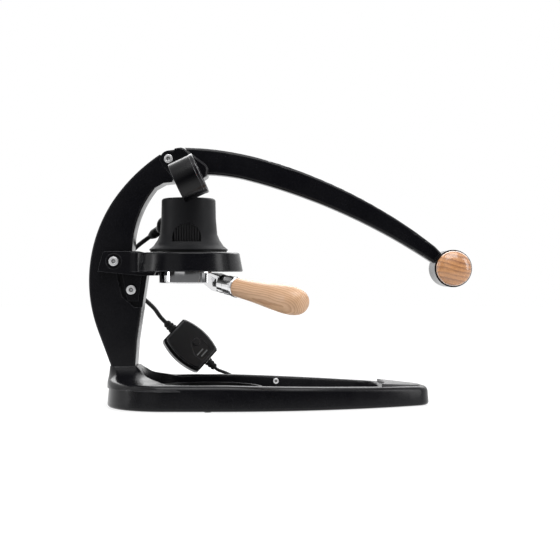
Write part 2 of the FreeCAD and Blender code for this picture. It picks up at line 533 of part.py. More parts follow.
def group_arm():
    """The arm: two cheeks astride the post, tangs below them, and the ring for the brew head."""
    body = new_body("group_arm")
    half = outline(sketch(body, "XZ_Plane"), [
        ("brew_x + ring_bore", "ring_low"), ("brew_x + ring_low_radius - 1", "ring_low"),
        ("brew_x + ring_low_radius", "ring_low + 1"),
        ("brew_x + ring_top_radius", "ring_top - ring_round", "ring_round"),
        ("brew_x + ring_top_radius - ring_round", "ring_top"),
        ("brew_x + ring_seat", "ring_top"), ("brew_x + ring_seat", "groove_high"),
        ("brew_x + groove_radius", "groove_high"), ("brew_x + groove_radius", "groove_low"),
        ("brew_x + ring_bore", "groove_low")])
    axis = half.addGeometry(Part.LineSegment(Vector(size("brew_x"), 100, 0),
                                             Vector(size("brew_x"), 200, 0)), True)
    half.addConstraint(Sketcher.Constraint("Vertical", axis))
    held = half.addConstraint(Sketcher.Constraint("DistanceX", -1, 1, axis, 1, size("brew_x")))
    half.setExpression(f"Constraints[{held}]", linked("brew_x"))
    ring = body.newObject("PartDesign::Revolution", "group_ring")
    ring.Profile = (half, [""])
    ring.ReferenceAxis = (half, ["Axis0"])
    ring.Angle = 360
    doc.recompute()
    side = [("arm_end_low_x", "arm_end_low_z"), ("arm_end_top_x", "arm_top - 1.5"),
            ("arm_end_top_x + 2", "arm_top"), ("12", "arm_top"), ("22", "ring_top - 0.6"),
            ("arm_low_x", "ring_low"), ("arm_low_x - 1.5", "arm_low"), ("14", "arm_low"),
            ("arm_heel_x", "arm_heel_z")]
    for height, outward in (("arm_slot_half", False), ("-arm_slot_half", True)):
        extrude(body, outline(sketch(body, "XZ_Plane", height), side),
                "arm_half - arm_slot_half", reverse=outward)
    reach = "sqrt((ring_low_radius - 1.6 + web_radius)^2 - (arm_half + web_radius)^2)"
    share = "(ring_low_radius - 1.6) / (ring_low_radius - 1.6 + web_radius)"
    for sign in ("", "-"):
        bend = "web_radius" if sign == "" else "-web_radius"
        web = outline(sketch(body, "XY_Plane", "ring_low"), [
            (f"brew_x - {reach}", f"{sign}(arm_half)", bend),
            (f"brew_x - {reach} * {share}", f"{sign}((arm_half + web_radius) * {share})"),
            ("brew_x - 36", f"{sign}(arm_half + 6)"), ("12", f"{sign}(arm_slot_half + 2)"),
            (f"brew_x - {reach}", f"{sign}(arm_slot_half + 2)")])
        extrude(body, web, "ring_top - ring_low - 0.4")
    tang = [("tang_top_x", "tang_top"), ("tang_top_x", "arm_low"), ("tang_low_x", "tang_low + 1"),
            ("tang_low_x + 1.5", "tang_low"), ("tang_front", "tang_low"),
            ("post_chest_x - 5.5", "arm_low"), ("post_chest_x - 5.5", "tang_top")]
    for height, outward in (("tang_in", False), ("-tang_in", True)):
        extrude(body, outline(sketch(body, "XZ_Plane", height), tang), "tang_out - tang_in",
                reverse=outward)
    bridge = [("tang_top_x", "tang_top"), ("tang_top_x", "arm_low + 3.4"),
              ("post_chest_x - 5.5", "arm_low + 3.4"), ("post_chest_x - 5.5", "tang_top")]
    for height, outward in (("tang_in", False), ("-tang_in", True)):
        extrude(body, outline(sketch(body, "XZ_Plane", height), bridge),
                "arm_slot_half - tang_in + 1", reverse=outward)
    ways = sketch(body, "XZ_Plane")
    circle(ways, "arm_bolt_x", "arm_bolt_z", "arm_bolt_radius + 0.1")
    circle(ways, "tang_bolt_x", "tang_bolt_z", "arm_bolt_radius + 0.1")
    extrude(body, ways, "4 * arm_half", "Pocket", both_ways=True)
    for height, outward in (("arm_half - bolt_sink", True), ("bolt_sink - arm_half", False)):
        sink = circle(sketch(body, "XZ_Plane", height), "arm_bolt_x", "arm_bolt_z",
                      "bolt_sink_radius")
        extrude(body, sink, "bolt_sink + 3", "Pocket", reverse=outward)
    for angle in ("(neck_angle + 90)", "(neck_angle - 90)"):
        bayonet_gap(body, angle, "groove_low + 1", "groove_low - ring_low + 3")
    return body


def arm_fasteners():
    """Socket screws from the near side and their sleeve nuts on the far side."""
    bolts = []
    nuts = []
    bore = "arm_bolt_radius + 0.05"
    for side, face in (("arm", "(arm_half - bolt_sink)"), ("tang", "tang_out")):
        x, z = f"{side}_bolt_x", f"{side}_bolt_z"
        bolt = cap_screw(f"{side}_bolt", "arm_bolt_radius - 0.02", f"{side}_bolt_length",
                         "bolt_head_radius", "bolt_head_tall", "bolt_key")
        bolts.append(place(bolt, x, f"-{face}", z, FACE_NEAR))
        nut = turned(f"{side}_nut", [
            (bore, 0), ("bolt_head_radius", 0), ("bolt_head_radius", "nut_flange", "0.8"),
            ("bolt_head_radius - 0.8", "nut_tall"), (bore, "nut_tall")], False, x=0)
        nuts.append(place(nut, x, face, z, FACE_FAR))
    return group("arm_bolts", bolts), group("arm_nuts", nuts)


def lever():
    """The lever casting: forked cheeks at the pivot, a long swept beam and a barrel at its end."""
    body = new_body("lever")
    beam = outline(sketch(body, "XZ_Plane"), [
        ("pivot_x + 22", "pivot_z + 8"),
        ("beam_top_start_x", "beam_top_start_z", "-beam_top_radius_1"),
        ("beam_top_mid_x", "beam_top_mid_z", "-beam_top_radius_2"),
        ("beam_top_end_x", "beam_top_end_z"), ("barrel_x", "barrel_z + 6"),
        ("barrel_x", "barrel_z - 6"),
        ("beam_low_end_x", "beam_low_end_z", "beam_low_radius_2"),
        ("beam_low_mid_x", "beam_low_mid_z", "beam_low_radius_1"),
        ("beam_low_start_x", "beam_low_start_z"), ("pivot_x + 30", "pivot_z - 18")])
    extrude(body, beam, "beam_thick", both_ways=True)
    soften(body, "beam_round", lambda edge: abs(abs(edge.CenterOfMass.y) - size("beam_thick / 2"))
           < 0.01 and edge.CenterOfMass.x > size("pivot_x + 24")
           and edge.CenterOfMass.x < size("barrel_x - 8") and edge.Length > 10)
    offset = "(brew_x - pivot_x)"
    cheeks = outline(sketch(body, "XZ_Plane"), [
        ("pivot_x + cheek_radius * cos(225)", "pivot_z + cheek_radius * sin(225)",
         "-cheek_radius"),
        ("pivot_x + cheek_radius * cos(58)", "pivot_z + cheek_radius * sin(58)"),
        *((f"pivot_x + cheek_{place}_x", f"pivot_z + cheek_{place}_z")
          for place in ("step", "top", "crest", "brow", "front", "chin")),
        (f"pivot_x + {offset} + lobe_radius * cos(-40)",
         f"pivot_z - {offset} + lobe_radius * sin(-40)", "-lobe_radius"),
        (f"pivot_x + {offset} + lobe_radius * cos(222)",
         f"pivot_z - {offset} + lobe_radius * sin(222)")])
    extrude(body, cheeks, "post_thick", both_ways=True)
    soften(body, "cheek_round", lambda edge: abs(abs(edge.CenterOfMass.y) - size("post_thick / 2"))
           < 0.01 and edge.CenterOfMass.x > size("pivot_x + 14")
           and edge.CenterOfMass.z > size("pivot_z - 17"), "Chamfer")
    barrel = circle(sketch(body, "XZ_Plane"), "barrel_x", "barrel_z", "barrel_radius")
    extrude(body, barrel, "2 * barrel_half", both_ways=True)
    bore = circle(sketch(body, "XZ_Plane"), "barrel_x", "barrel_z", "barrel_bore")
    extrude(body, bore, "3 * barrel_half", "Pocket", both_ways=True)
    gap = outline(sketch(body, "XY_Plane", "pivot_z + 40"), [
        ("pivot_x - 20", "-cheek_gap / 2"), ("pivot_x + fork_depth", "-cheek_gap / 2"),
        ("pivot_x + fork_depth", "cheek_gap / 2"), ("pivot_x - 20", "cheek_gap / 2")])
    extrude(body, gap, "90", "Pocket")
    near, away = f"({offset} - 0.6)", f"({offset} * 1.4142 + 0.6)"
    slot = []
    for along, across in ((near, "slot_half"), (near, "-slot_half"), (away, "-slot_half"),
                          (away, "slot_half")):
        slot.append((f"pivot_x + ({along} + {across}) * cos(45)",
                     f"pivot_z + ({across} - {along}) * sin(45)"))
    for end in (0, 2):
        slot[end] = (*slot[end], "slot_half + 0.05")
    extrude(body, outline(sketch(body, "XZ_Plane"), slot), "2 * post_thick", "Pocket",
            both_ways=True)
    axle_way = circle(sketch(body, "XZ_Plane"), "pivot_x", "pivot_z", "axle_radius")
    extrude(body, axle_way, "2 * post_thick", "Pocket", both_ways=True)
    sink = circle(sketch(body, "XZ_Plane", "post_thick / 2 - axle_sink"), "pivot_x", "pivot_z",
                  "axle_head_radius + 0.3")
    extrude(body, sink, "5", "Pocket", reverse=True)
    return body


def pivot_pieces():
    """Bush in the tongue, and the axle screw and cap nut that the cheeks clamp."""
    bush = turned("pivot_bush", [
        ("axle_radius + axle_gap", "-tongue_thick / 2"), ("bush_radius", "-tongue_thick / 2"),
        ("bush_radius", "tongue_thick / 2"), ("axle_radius + axle_gap", "tongue_thick / 2")],
        x="pivot_x", z="pivot_z", turn=FACE_NEAR)
    axle = cap_screw("lever_axle", "axle_radius", "post_thick - axle_sink", "axle_head_radius",
                     "axle_head_tall", "axle_key", True)
    place(axle, "pivot_x", "axle_sink - post_thick / 2", "pivot_z", FACE_NEAR)
    nut = turned("axle_nut", [
        (0, 0), ("axle_head_radius + 0.8", 0), ("axle_head_radius + 0.8", "1.6", "1"),
        ("axle_head_radius - 0.2", "2.6"), (0, "2.6")],
        x="pivot_x", y="post_thick / 2", z="pivot_z", turn=FACE_FAR)
    return bush, axle, nut


def lever_grip():
    """The T-handle: a steel rod through the barrel and a wooden end on each side."""
    turned("grip_rod", [(0, "-rod_half"), ("rod_radius", "-rod_half"), ("rod_radius", "rod_half"),
                        (0, "rod_half")], x="barrel_x", z="barrel_z", turn=FACE_NEAR)
    for label, turn, y in (("grip_near", FACE_NEAR, "-barrel_half - 0.3"),
                           ("grip_far", FACE_FAR, "barrel_half + 0.3")):
        turned(label, [
            ("rod_radius", 0), ("grip_radius - 0.6", 0), ("grip_radius", "1.2"),
            ("grip_radius", "grip_length - grip_dome",
             "(grip_radius^2 + grip_dome^2) / (2 * grip_dome)"), (0, "grip_length"),
            (0, "rod_half - barrel_half"), ("rod_radius", "rod_half - barrel_half")],
            x="barrel_x", y=y, z="barrel_z", turn=turn)


def plunger():
    """Stem with its eye, cross pin, piston and two seals."""
    pin_z = "(pivot_z - brew_x + pivot_x)"
    stem = turned("plunger_stem", [
        (0, "piston_top - 5"), ("stem_radius", "piston_top - 5"),
        ("stem_radius", f"{pin_z} - 2"), (0, f"{pin_z} - 2")])
    eye = circle(sketch(stem, "XZ_Plane"), 0, pin_z, "eye_radius")
    extrude(stem, eye, "2 * eye_half", both_ways=True)
    way = circle(sketch(stem, "XZ_Plane"), 0, pin_z, "pin_radius")
    extrude(stem, way, "4 * eye_half", "Pocket", both_ways=True)
    turned("cross_pin", [
        (0, "-pin_far"), ("pin_radius", "-pin_far"), ("pin_radius", "-pin_near"),
        (0, "-pin_near")], z=pin_z, turn=FACE_NEAR)
    turned("pin_cap", [
        (0, "2.2"), ("pin_radius", "2.2"), ("pin_radius", 0), ("pin_cap_radius", 0),
        ("pin_cap_radius", "3", "1.4"), ("pin_cap_radius - 1.4", "4.4"), (0, "4.4")],
        y="pin_far - 2.2", z=pin_z, turn=FACE_FAR)
    land = "seal_wire * 1.2"
    turned("piston", [
        (0, "piston_low"), ("piston_radius - 1", "piston_low"),
        ("piston_radius", "piston_low + 1"), ("piston_radius", "piston_low + 2.6"),
        ("piston_radius - seal_wire", "piston_low + 2.6"),
        ("piston_radius - seal_wire", f"piston_low + 2.6 + {land}"),
        ("piston_radius", f"piston_low + 2.6 + {land}"), ("piston_radius", "piston_top - 5"),
        ("piston_radius - seal_wire", "piston_top - 5"),
        ("piston_radius - seal_wire", f"piston_top - 5 + {land}"),
        ("piston_radius", f"piston_top - 5 + {land}"), ("piston_radius", "piston_top - 0.6"),
        ("piston_radius - 0.6", "piston_top"), ("stem_radius", "piston_top"),
        ("stem_radius", "piston_top - 5"), (0, "piston_top - 5")])
    seals = []
    for side, height in (("low", "piston_low + 2.6"), ("high", "piston_top - 5")):
        seals.append(turned(f"seal_{side}", [
            ("piston_radius - seal_wire", f"{height} + 0.1"),
            ("piston_radius + 0.05", f"{height} + 0.1"),
            ("piston_radius + 0.05", f"{height} + {land} - 0.1"),
            ("piston_radius - seal_wire", f"{height} + {land} - 0.1")], False))
    group("piston_seals", seals)


def brew_head():
    """Chamber, screen, gasket, heater band and the cap that guides the stem."""
    turned("brew_chamber", [
        ("bell_bore", "chamber_low"), ("bell_wall", "chamber_low"), ("bell_wall", "collar_low"),
        ("collar_radius", "collar_low"), ("collar_radius", "collar_high"),
        ("bell_wall", "collar_high"), ("chamber_wall", "heater_low - 0.6"),
        ("chamber_wall", "chamber_top"), ("chamber_bore", "chamber_top"),
        ("chamber_bore", "piston_low - 0.3"), ("bell_bore", "chamber_low + 1.6")])
    turned("chamber_cap", [
        ("guide_radius", "cap_low"), ("chamber_bore - 0.1", "cap_low"),
        ("chamber_bore - 0.1", "chamber_top"), ("chamber_wall", "chamber_top"),
        ("chamber_wall", "cap_high"), ("guide_radius", "cap_high")])
    turned("heater_band", [
        ("chamber_wall + 0.05", "heater_low"), ("heater_radius", "heater_low"),
        ("heater_radius", "heater_high"), ("chamber_wall + 0.05", "heater_high")])
    turned("group_gasket", [
        ("bell_bore + 0.2", "groove_high + 0.1"), ("ring_seat - 0.2", "groove_high + 0.1"),
        ("ring_seat - 0.2", "chamber_low"), ("bell_bore + 0.2", "chamber_low")])
    screen = turned("water_screen", [
        (0, "chamber_low + 0.2"), ("bell_bore - 0.1", "chamber_low + 0.2"),
        ("bell_bore - 0.1", "chamber_low + 1.1"), (0, "chamber_low + 1.1")])
    drill_rings(screen, "chamber_low + 3", "6", "screen_hole")


def drill_rings(body, height, depth, hole):
    """Three rings of round holes about the piece's own axis."""
    holes = sketch(body, "XY_Plane", height)
    for ring in (1, 2, 3):
        for step in range(6 * ring):
            angle = 60 * step / ring
            circle(holes, f"{ring} * 7.5 * cos({angle})", f"{ring} * 7.5 * sin({angle})", hole)
    extrude(body, holes, depth, "Pocket")


def sleeve_line():
    """Outer line of the soft sleeve, from its foot up to the edge of its top."""
    return [("sleeve_rim_radius", "sleeve_foot"), ("sleeve_rim_radius", "sleeve_rim"),
            ("sleeve_skirt_radius", "sleeve_skirt"), ("sleeve_flare_radius", "sleeve_flare"),
            ("sleeve_hip_radius", "sleeve_hip"), ("sleeve_waist_radius", "sleeve_waist"),
            ("sleeve_top_radius", "sleeve_top - sleeve_round", "sleeve_round"),
            ("sleeve_top_radius - sleeve_round", "sleeve_top")]


def grip_arch(body, margin):
    """The arched outline of a grip window, drawn about the brew axis."""
    half = f"(window_half - {margin})"
    return outline(sketch(body, "XZ_Plane"), [
        (f"-{half}", f"window_low + {margin}"), (half, f"window_low + {margin}"),
        (half, "window_spring", half + " + 0.02"), (f"-{half}", "window_spring")])


def brew_sleeve():
    """The soft sleeve with an arched window on each side, and the ribbed grips set in them."""
    sleeve = turned("brew_sleeve", sleeve_line() + [
        ("stem_port", "sleeve_top"), ("stem_port", "cap_high + 0.1"),
        ("heater_radius + 0.2", "cap_high + 0.1"), ("heater_radius + 0.2", "heater_low + 1"),
        ("bell_wall + 0.3", "heater_low - 4"), ("bell_wall + 0.3", "sleeve_foot")])
    extrude(sleeve, grip_arch(sleeve, "0"), "4 * sleeve_rim_radius", "Pocket", both_ways=True)
    arch = new_body("grip_arch", False)
    extrude(arch, grip_arch(arch, "0.1"), "4 * sleeve_rim_radius", both_ways=True)
    place(arch, "brew_x")
    band = turned("grip_band", [
        ("heater_radius + 0.3", "window_low"), ("sleeve_hip_radius + 0.6", "window_low"),
        ("sleeve_hip_radius - 0.6", "sleeve_hip + 3"),
        ("sleeve_waist_radius - 0.3", "sleeve_waist"), ("heater_radius + 0.3", "sleeve_waist")],
        False)
    curved = doc.addObject("Part::Common", "grip_curved")
    curved.Base = arch
    curved.Tool = band
    grooves = []
    for step in range(-5, 6):
        groove = doc.addObject("Part::Box", "grip_groove")
        bind(groove, Length="grip_groove_width", Width="4 * sleeve_rim_radius", Height="40")
        shift = f"brew_x + {step} * grip_groove_pitch - grip_groove_width / 2"
        place(groove, shift, "-2 * sleeve_rim_radius", "window_low")
        grooves.append(groove)
    core = turned("grip_core", [
        (0, "window_low - 5"), ("heater_radius + 1.1", "window_low - 5"),
        ("heater_radius + 1.1", "window_low + 50"), (0, "window_low + 50")], False)
    blades = doc.addObject("Part::Compound", "grip_grooves")
    blades.Links = grooves
    cutters = doc.addObject("Part::Cut", "grip_cutters")
    cutters.Base = blades
    cutters.Tool = core
    ribbed = doc.addObject("Part::Cut", "grip_ribs")
    ribbed.Base = curved
    ribbed.Tool = cutters
    node(ribbed, "grip_ribs")


PLUG_SIDE = Rotation(Vector(0, 0, 1), 150)
LEAD_OUT = Vector(-0.78, 0.378, -0.496).normalize()
UPRIGHT = Vector(0, 0, 1)


def heater_plug():
    """Domed plug on the sleeve's rear quarter, with a tapered relief that points down and back."""
    dome = turned("plug_dome", [
        (0, "plug_seat"), ("plug_radius", "plug_seat"),
        ("plug_radius", "plug_reach - 4", "4.5"), ("plug_radius - 3.6", "plug_reach"),
        (0, "plug_reach")], False, "brew_x", 0, "plug_z", PLUG_SIDE * Rotation(Vector(0, 1, 0), 90))
    clear = turned("sleeve_clear", [(0, "sleeve_foot")] + [
        (f"{radius} + 0.05", height, *arc) for radius, height, *arc in sleeve_line()] + [
        (0, "sleeve_top")], False)
    neck = turned("plug_neck", [
        (0, "-13"), ("5.4", "-13"), ("5.4", "-5"), ("lead_diameter / 2 + 0.9", 0), (0, 0)],
        False, "lead_exit_x", "lead_exit_y", "lead_exit_z", Rotation(UPRIGHT, LEAD_OUT))
    whole = doc.addObject("Part::Fuse", "plug_whole")
    whole.Base = dome
    whole.Tool = neck
    cut = doc.addObject("Part::Cut", "heater_plug")
    cut.Base = whole
    cut.Tool = clear
    node(cut, "heater_plug")


def portafilter():
    """Filter holder: ring with two lugs, neck, basket, clip wire, ferrule, stud and handle."""
    turn = Rotation(UPRIGHT, size("neck_angle"))
    holder = turned("portafilter_body", [
        ("filter_bore", "filter_low"), ("filter_radius - 1", "filter_low", "1"),
        ("filter_radius", "filter_low + 1"), ("filter_radius", "filter_high"),
        ("filter_bore", "filter_high")], turn=turn)
    rise = "sqrt(lug_radius^2 - lug_width^2 / 4)"
    for sign, bend in (("", "lug_radius"), ("-", "-lug_radius")):
        lug = outline(sketch(holder, "XY_Plane", "lug_low"), [
            ("-lug_width / 2", f"{sign}30.2"), ("lug_width / 2", f"{sign}30.2"),
            ("lug_width / 2", f"{sign}({rise})", bend), ("-lug_width / 2", f"{sign}({rise})")])
        extrude(holder, lug, "lug_high - lug_low")
    end = "(neck_reach - (collar_length + 0.05) * cos(droop))"
    level = "(handle_axis_z + (collar_length + 0.05) * sin(droop))"
    side = outline(sketch(holder, "XZ_Plane"), [
        ("filter_bore + 0.6", "neck_high"), ("neck_top_x", "neck_high - 0.4"),
        (f"{end} + neck_face_half * sin(droop)", f"{level} + neck_face_half * cos(droop)"),
        (f"{end} - neck_face_half * sin(droop)", f"{level} - neck_face_half * cos(droop)"),
        ("neck_belly_x", "neck_low + neck_belly_rise"),
        ("filter_bore + 0.6", "filter_low + 1.2")])
    extrude(holder, side, "2 * neck_half", both_ways=True)
    for height, outward in (("neck_half - hollow_deep", True), ("hollow_deep - neck_half", False)):
        hollow = outline(sketch(holder, "XZ_Plane", height), [
            ("hollow_rear", "neck_high - hollow_roof"),
            ("neck_reach - hollow_front_wall", "neck_high - hollow_roof - 2.8"),
            ("neck_reach - hollow_front_wall", "neck_low + hollow_floor - 0.5"),
            ("hollow_rear + 2.5", "neck_low + hollow_floor + 0.5")])
        extrude(holder, hollow, "12", "Pocket", reverse=outward)
    bore = circle(sketch(holder, "XY_Plane", "filter_high + 5"), 0, 0, "filter_bore")
    extrude(holder, bore, "60", "Pocket")
    out = turn * Rotation(Vector(0, 1, 0), 90 + size("droop"))

    def along(length):
        """Where the handle's axis is, a length past the end of the neck."""
        reach = f"(neck_reach + ({length}) * cos(droop))"
        return (f"brew_x + {reach} * cos(neck_angle)", f"{reach} * sin(neck_angle)",
                f"handle_axis_z - ({length}) * sin(droop)")

    turned("neck_collar", [
        ("stud_radius + 0.05", "-collar_length"), ("ferrule_radius - collar_edge", "-collar_length"),
        ("ferrule_radius - 0.4", "1 - collar_length"), ("ferrule_radius - 0.4", "-0.2"),
        ("stud_radius + 0.05", "-0.2")], True, *along("0"), out)
    turned("handle_ferrule", [
        ("stud_radius + 0.05", 0), ("ferrule_radius - 0.5", 0), ("ferrule_radius", "0.5"),
        ("ferrule_radius", "ferrule_length - 4"),
        ("ferrule_radius + ferrule_lip", "ferrule_length - 3"),
        ("ferrule_radius + ferrule_lip", "ferrule_length - 1"), ("ferrule_radius", "ferrule_length"),
        ("stud_radius + 0.05", "ferrule_length")], True, *along("0"), out)
    turned("portafilter_handle", [
        ("stud_radius + 0.05", 0), ("handle_root_radius", 0, "-180"),
        ("handle_waist_radius", "handle_waist_place", "-260"),
        ("handle_swell_radius", "handle_length - handle_swell_back", "24"),
        ("handle_tip_radius", "handle_length - 3", "handle_tip_round"),
        ("handle_tip_radius - handle_tip_round", "handle_length"), (0, "handle_length"),
        (0, "handle_bore_deep"), ("stud_radius + 0.05", "handle_bore_deep")],
        True, *along("ferrule_length + 0.1"), out)
    turned("handle_stud", [
        (0, "-stud_in_neck"), ("stud_radius", "-stud_in_neck"), ("stud_radius", "stud_length"),
        (0, "stud_length")], True, *along("0"), out)
    basket = turned("filter_basket", [
        (0, "basket_low"), ("basket_wall - 2", "basket_low", "2.1"),
        ("basket_wall", "basket_low + 2"), ("basket_wall", "filter_high + 0.1"),
        ("basket_rim", "filter_high + 0.1"), ("basket_rim", "basket_high"),
        ("basket_bore", "basket_high"), ("basket_bore", "basket_low + 2.4"),
        ("basket_bore - 2", "basket_low + 0.5"), (0, "basket_low + 0.5")])
    drill_rings(basket, "basket_low + 3", "6", "screen_hole")
    turned("basket_clip", [
        (f"clip_radius + ({across})", f"clip_z + ({up})") for across, up in (
            ("-clip_half", "-clip_corner"), ("-clip_corner", "-clip_half"),
            ("clip_corner", "-clip_half"), ("clip_half", "-clip_corner"),
            ("clip_half", "clip_corner"), ("clip_corner", "clip_half"),
            ("-clip_corner", "clip_half"), ("-clip_half", "clip_corner"))])


GAUGE_FACE = Rotation(Vector(0, 1, 0), 90 - DIMENSIONS["gauge_tilt"])


def gauge():
    """Pressure gauge on the near end of the cross pin: case, bezel, lens, dial and needle."""
    spot = ("brew_x + gauge_x_shift", "gauge_y", "pivot_z - brew_x + pivot_x + gauge_z_shift",
            GAUGE_FACE)
    front = "gauge_depth / 2"
    case = turned("gauge_case", [
        (0, f"-{front}"), ("gauge_radius - gauge_edge", f"-{front}", "gauge_edge"),
        ("gauge_radius", f"gauge_edge - {front}"), ("gauge_radius", f"{front} - 4"),
        ("gauge_radius - gauge_wall", f"{front} - 4"),
        ("gauge_radius - gauge_wall", f"gauge_wall - {front}"), (0, f"gauge_wall - {front}")],
        True, *spot)
    across = "(gauge_z_shift * sin(90 - gauge_tilt) - gauge_x_shift * cos(90 - gauge_tilt))"
    along = "(-gauge_z_shift * cos(90 - gauge_tilt) - gauge_x_shift * sin(90 - gauge_tilt))"
    boss = circle(sketch(case, "XZ_Plane", "2 - gauge_radius"), across, along, "pin_radius + boss_wall")
    extrude(case, boss, "boss_deep", reverse=True)
    way = circle(sketch(case, "XZ_Plane", "4 - gauge_radius"), across, along, "pin_radius + 0.06")
    extrude(case, way, "12", "Pocket")
    turned("gauge_bezel", [
        ("gauge_radius - bezel_width", f"{front} - bezel_deep"),
        ("gauge_radius + 0.3", f"{front} - bezel_deep"), ("gauge_radius + 0.3", f"{front} - 0.6"),
        ("gauge_radius - 0.3", front), ("gauge_radius - bezel_width", front)], True, *spot)
    lens_rim = "gauge_radius - bezel_width - 0.05"
    turned("gauge_lens", [
        (0, f"{front} - lens_low"), (lens_rim, f"{front} - lens_low"),
        (lens_rim, f"{front} - lens_high"), (0, f"{front} - lens_high")], True, *spot)
    dial_rim = "gauge_radius - gauge_wall - 0.1"
    turned("gauge_dial", [
        ("1", f"{front} - dial_low"), (dial_rim, f"{front} - dial_low"),
        (dial_rim, f"{front} - dial_high"), ("1", f"{front} - dial_high")], True, *spot)
    movement = turned("gauge_movement", [
        (0, f"gauge_wall + 0.1 - {front}"), ("socket_radius", f"gauge_wall + 0.1 - {front}"),
        ("socket_radius", f"gauge_wall + 3 - {front}"),
        ("spindle_radius", f"gauge_wall + 5 - {front}"),
        ("spindle_radius", f"{front} - dial_low - 1.8"), (0, f"{front} - dial_low - 1.8")],
        True, *spot)
    tube_line = sketch(movement, "XZ_Plane")
    outline(tube_line, [
        ("bourdon_in", "1.5 - bourdon_half"), ("bourdon_out", "1.5 - bourdon_half"),
        ("bourdon_out", "1.5 + bourdon_half"), ("bourdon_in", "1.5 + bourdon_half")])
    bourdon = movement.newObject("PartDesign::Revolution", "bourdon_tube")
    bourdon.Profile = (tube_line, [""])
    bourdon.ReferenceAxis = (tube_line, ["V_Axis"])
    bourdon.Angle = 250
    arm = outline(sketch(movement, "XZ_Plane"), [
        ("1", "-0.6"), ("bourdon_in + 1", "-0.6"), ("bourdon_in + 1", "3.6"), ("1", "3.6")])
    extrude(movement, arm, "4", both_ways=True)
    needle = turned("gauge_needle", [
        (0, f"{front} - dial_low - 1.4"), ("0.9", f"{front} - dial_low - 1.4"),
        ("0.9", f"{front} - needle_low"), ("needle_hub", f"{front} - needle_low"),
        ("needle_hub", f"{front} - needle_high"), (0, f"{front} - needle_high")], True, *spot)
    pointer = outline(sketch(needle, "XY_Plane", f"{front} - needle_low + 0.2"), [
        ("-0.9", "-0.9"), ("needle_tip - 0.6", "-needle_tip - 0.6"),
        ("needle_tip + 0.6", "0.6 - needle_tip"), ("0.9", "0.9"),
        ("0.8 - needle_tail", "needle_tail + 0.8"), ("-needle_tail - 0.8", "needle_tail - 0.8")])
    extrude(needle, pointer, "0.7")


def drip_tray():
    """The round drip tray in the well, and the two small screws in the well's walls."""
    turned("drip_tray", [
        (0, "tray_low"), ("tray_radius - 5", "tray_low"), ("tray_radius - 1.2", "tray_low + 3.4"),
        ("tray_radius - 1.2", "tray_top - 1.6"), ("tray_radius", "tray_top - 1.2"),
        ("tray_radius", "tray_top"), ("tray_radius - 2.7", "tray_top"),
        ("tray_radius - 2.7", "tray_low + 4"), ("tray_radius - 5.8", "tray_low + 1.5"),
        (0, "tray_low + 1.5")], x="tray_x")
    screws = []
    for label, turn, sign in (("near", FACE_FAR, "-"), ("far", FACE_NEAR, "")):
        screw = cap_screw(f"well_screw_{label}", "1.9", "6", "3.2", "1.9", "1.6")
        screws.append(place(screw, "well_screw_x", f"{sign}{WELL_SCREW_FACE}", "well_screw_z", turn))
    group("well_screws", screws)


def nose_plate_outline(margin):
    """The plate on the nose: sides that follow the base's edge and a hollow rear edge."""
    side = f"(base_sweep - plate_inset - {margin})"
    share = f"({side} / (base_sweep - {NOSE_RADIUS}))"
    rear = f"(plate_start + {margin})"
    half = f"(sqrt({side}^2 - ({rear} - base_side)^2) - base_sweep + base_half)"
    tangent_x = f"base_side + (base_nose - {NOSE_RADIUS} - base_side) * {share}"
    tangent_y = f"(base_sweep - base_half) * ({share} - 1)"
    corners = mirrored_outline([
        (rear, half, f"-{side}"),
        (tangent_x, tangent_y, f"-({NOSE_RADIUS} - plate_inset - {margin})"),
    ])
    corners[-1] = (*corners[-1][:2], "plate_rear_radius")
    return corners


def nose_plate():
    """A bare raised plate that is set into the nose and slopes down to the front."""
    body = new_body("nose_plate")
    extrude(body, outline(sketch(body, "XY_Plane", "plate_floor"), nose_plate_outline("0.1")), "14")
    slope = outline(sketch(body, "XZ_Plane"), [
        ("plate_start", "plate_rear_top"), ("base_nose", "plate_front_top"),
        ("base_nose", "base_top + 20"), ("plate_start", "base_top + 20")])
    extrude(body, slope, "2 * base_half", "Pocket", both_ways=True)
    soften(body, "plate_edge", lambda edge: edge.BoundBox.ZMin > size("plate_front_top") - 0.1)
    return body


BOX_TURN = (Rotation(Vector(0, 1, 0), DIMENSIONS["box_slant"]) * FACE_NEAR
            * Rotation(Vector(1, 0, 0), -DIMENSIONS["box_roll"]))
BOX_CENTRE = Vector(*(DIMENSIONS[name] for name in ("box_x", "box_y", "box_z")))


def in_box(x, y=0.0, z=0.0):
    """A point given along, across and out of the controller, in the whole model's frame."""
    return BOX_CENTRE + BOX_TURN.multVec(Vector(x, y, z))


def box_outline(margin):
    """Outline of a controller shell: straight ends, cut corners and bowed sides."""
    end = f"(box_length / 2 - {margin})"
    half = f"(box_end_half - {margin})"
    bend = "-(box_side_radius)"
    return [(f"-{end}", f"2 - {half}"), (f"-{end}", f"{half} - 2"), (f"2.4 - {end}", half, bend),
            (f"{end} - 2.4", half), (end, f"{half} - 2"), (end, f"2 - {half}"),
            (f"{end} - 2.4", f"-{half}", bend), (f"2.4 - {end}", f"-{half}")]


def oblong(x, y, half, tall):
    """A rectangle about a middle, from its half width and half height."""
    return [(f"{x} - ({half})", f"{y} - ({tall})"), (f"{x} + {half}", f"{y} - ({tall})"),
            (f"{x} + {half}", f"{y} + {tall}"), (f"{x} - ({half})", f"{y} + {tall}")]


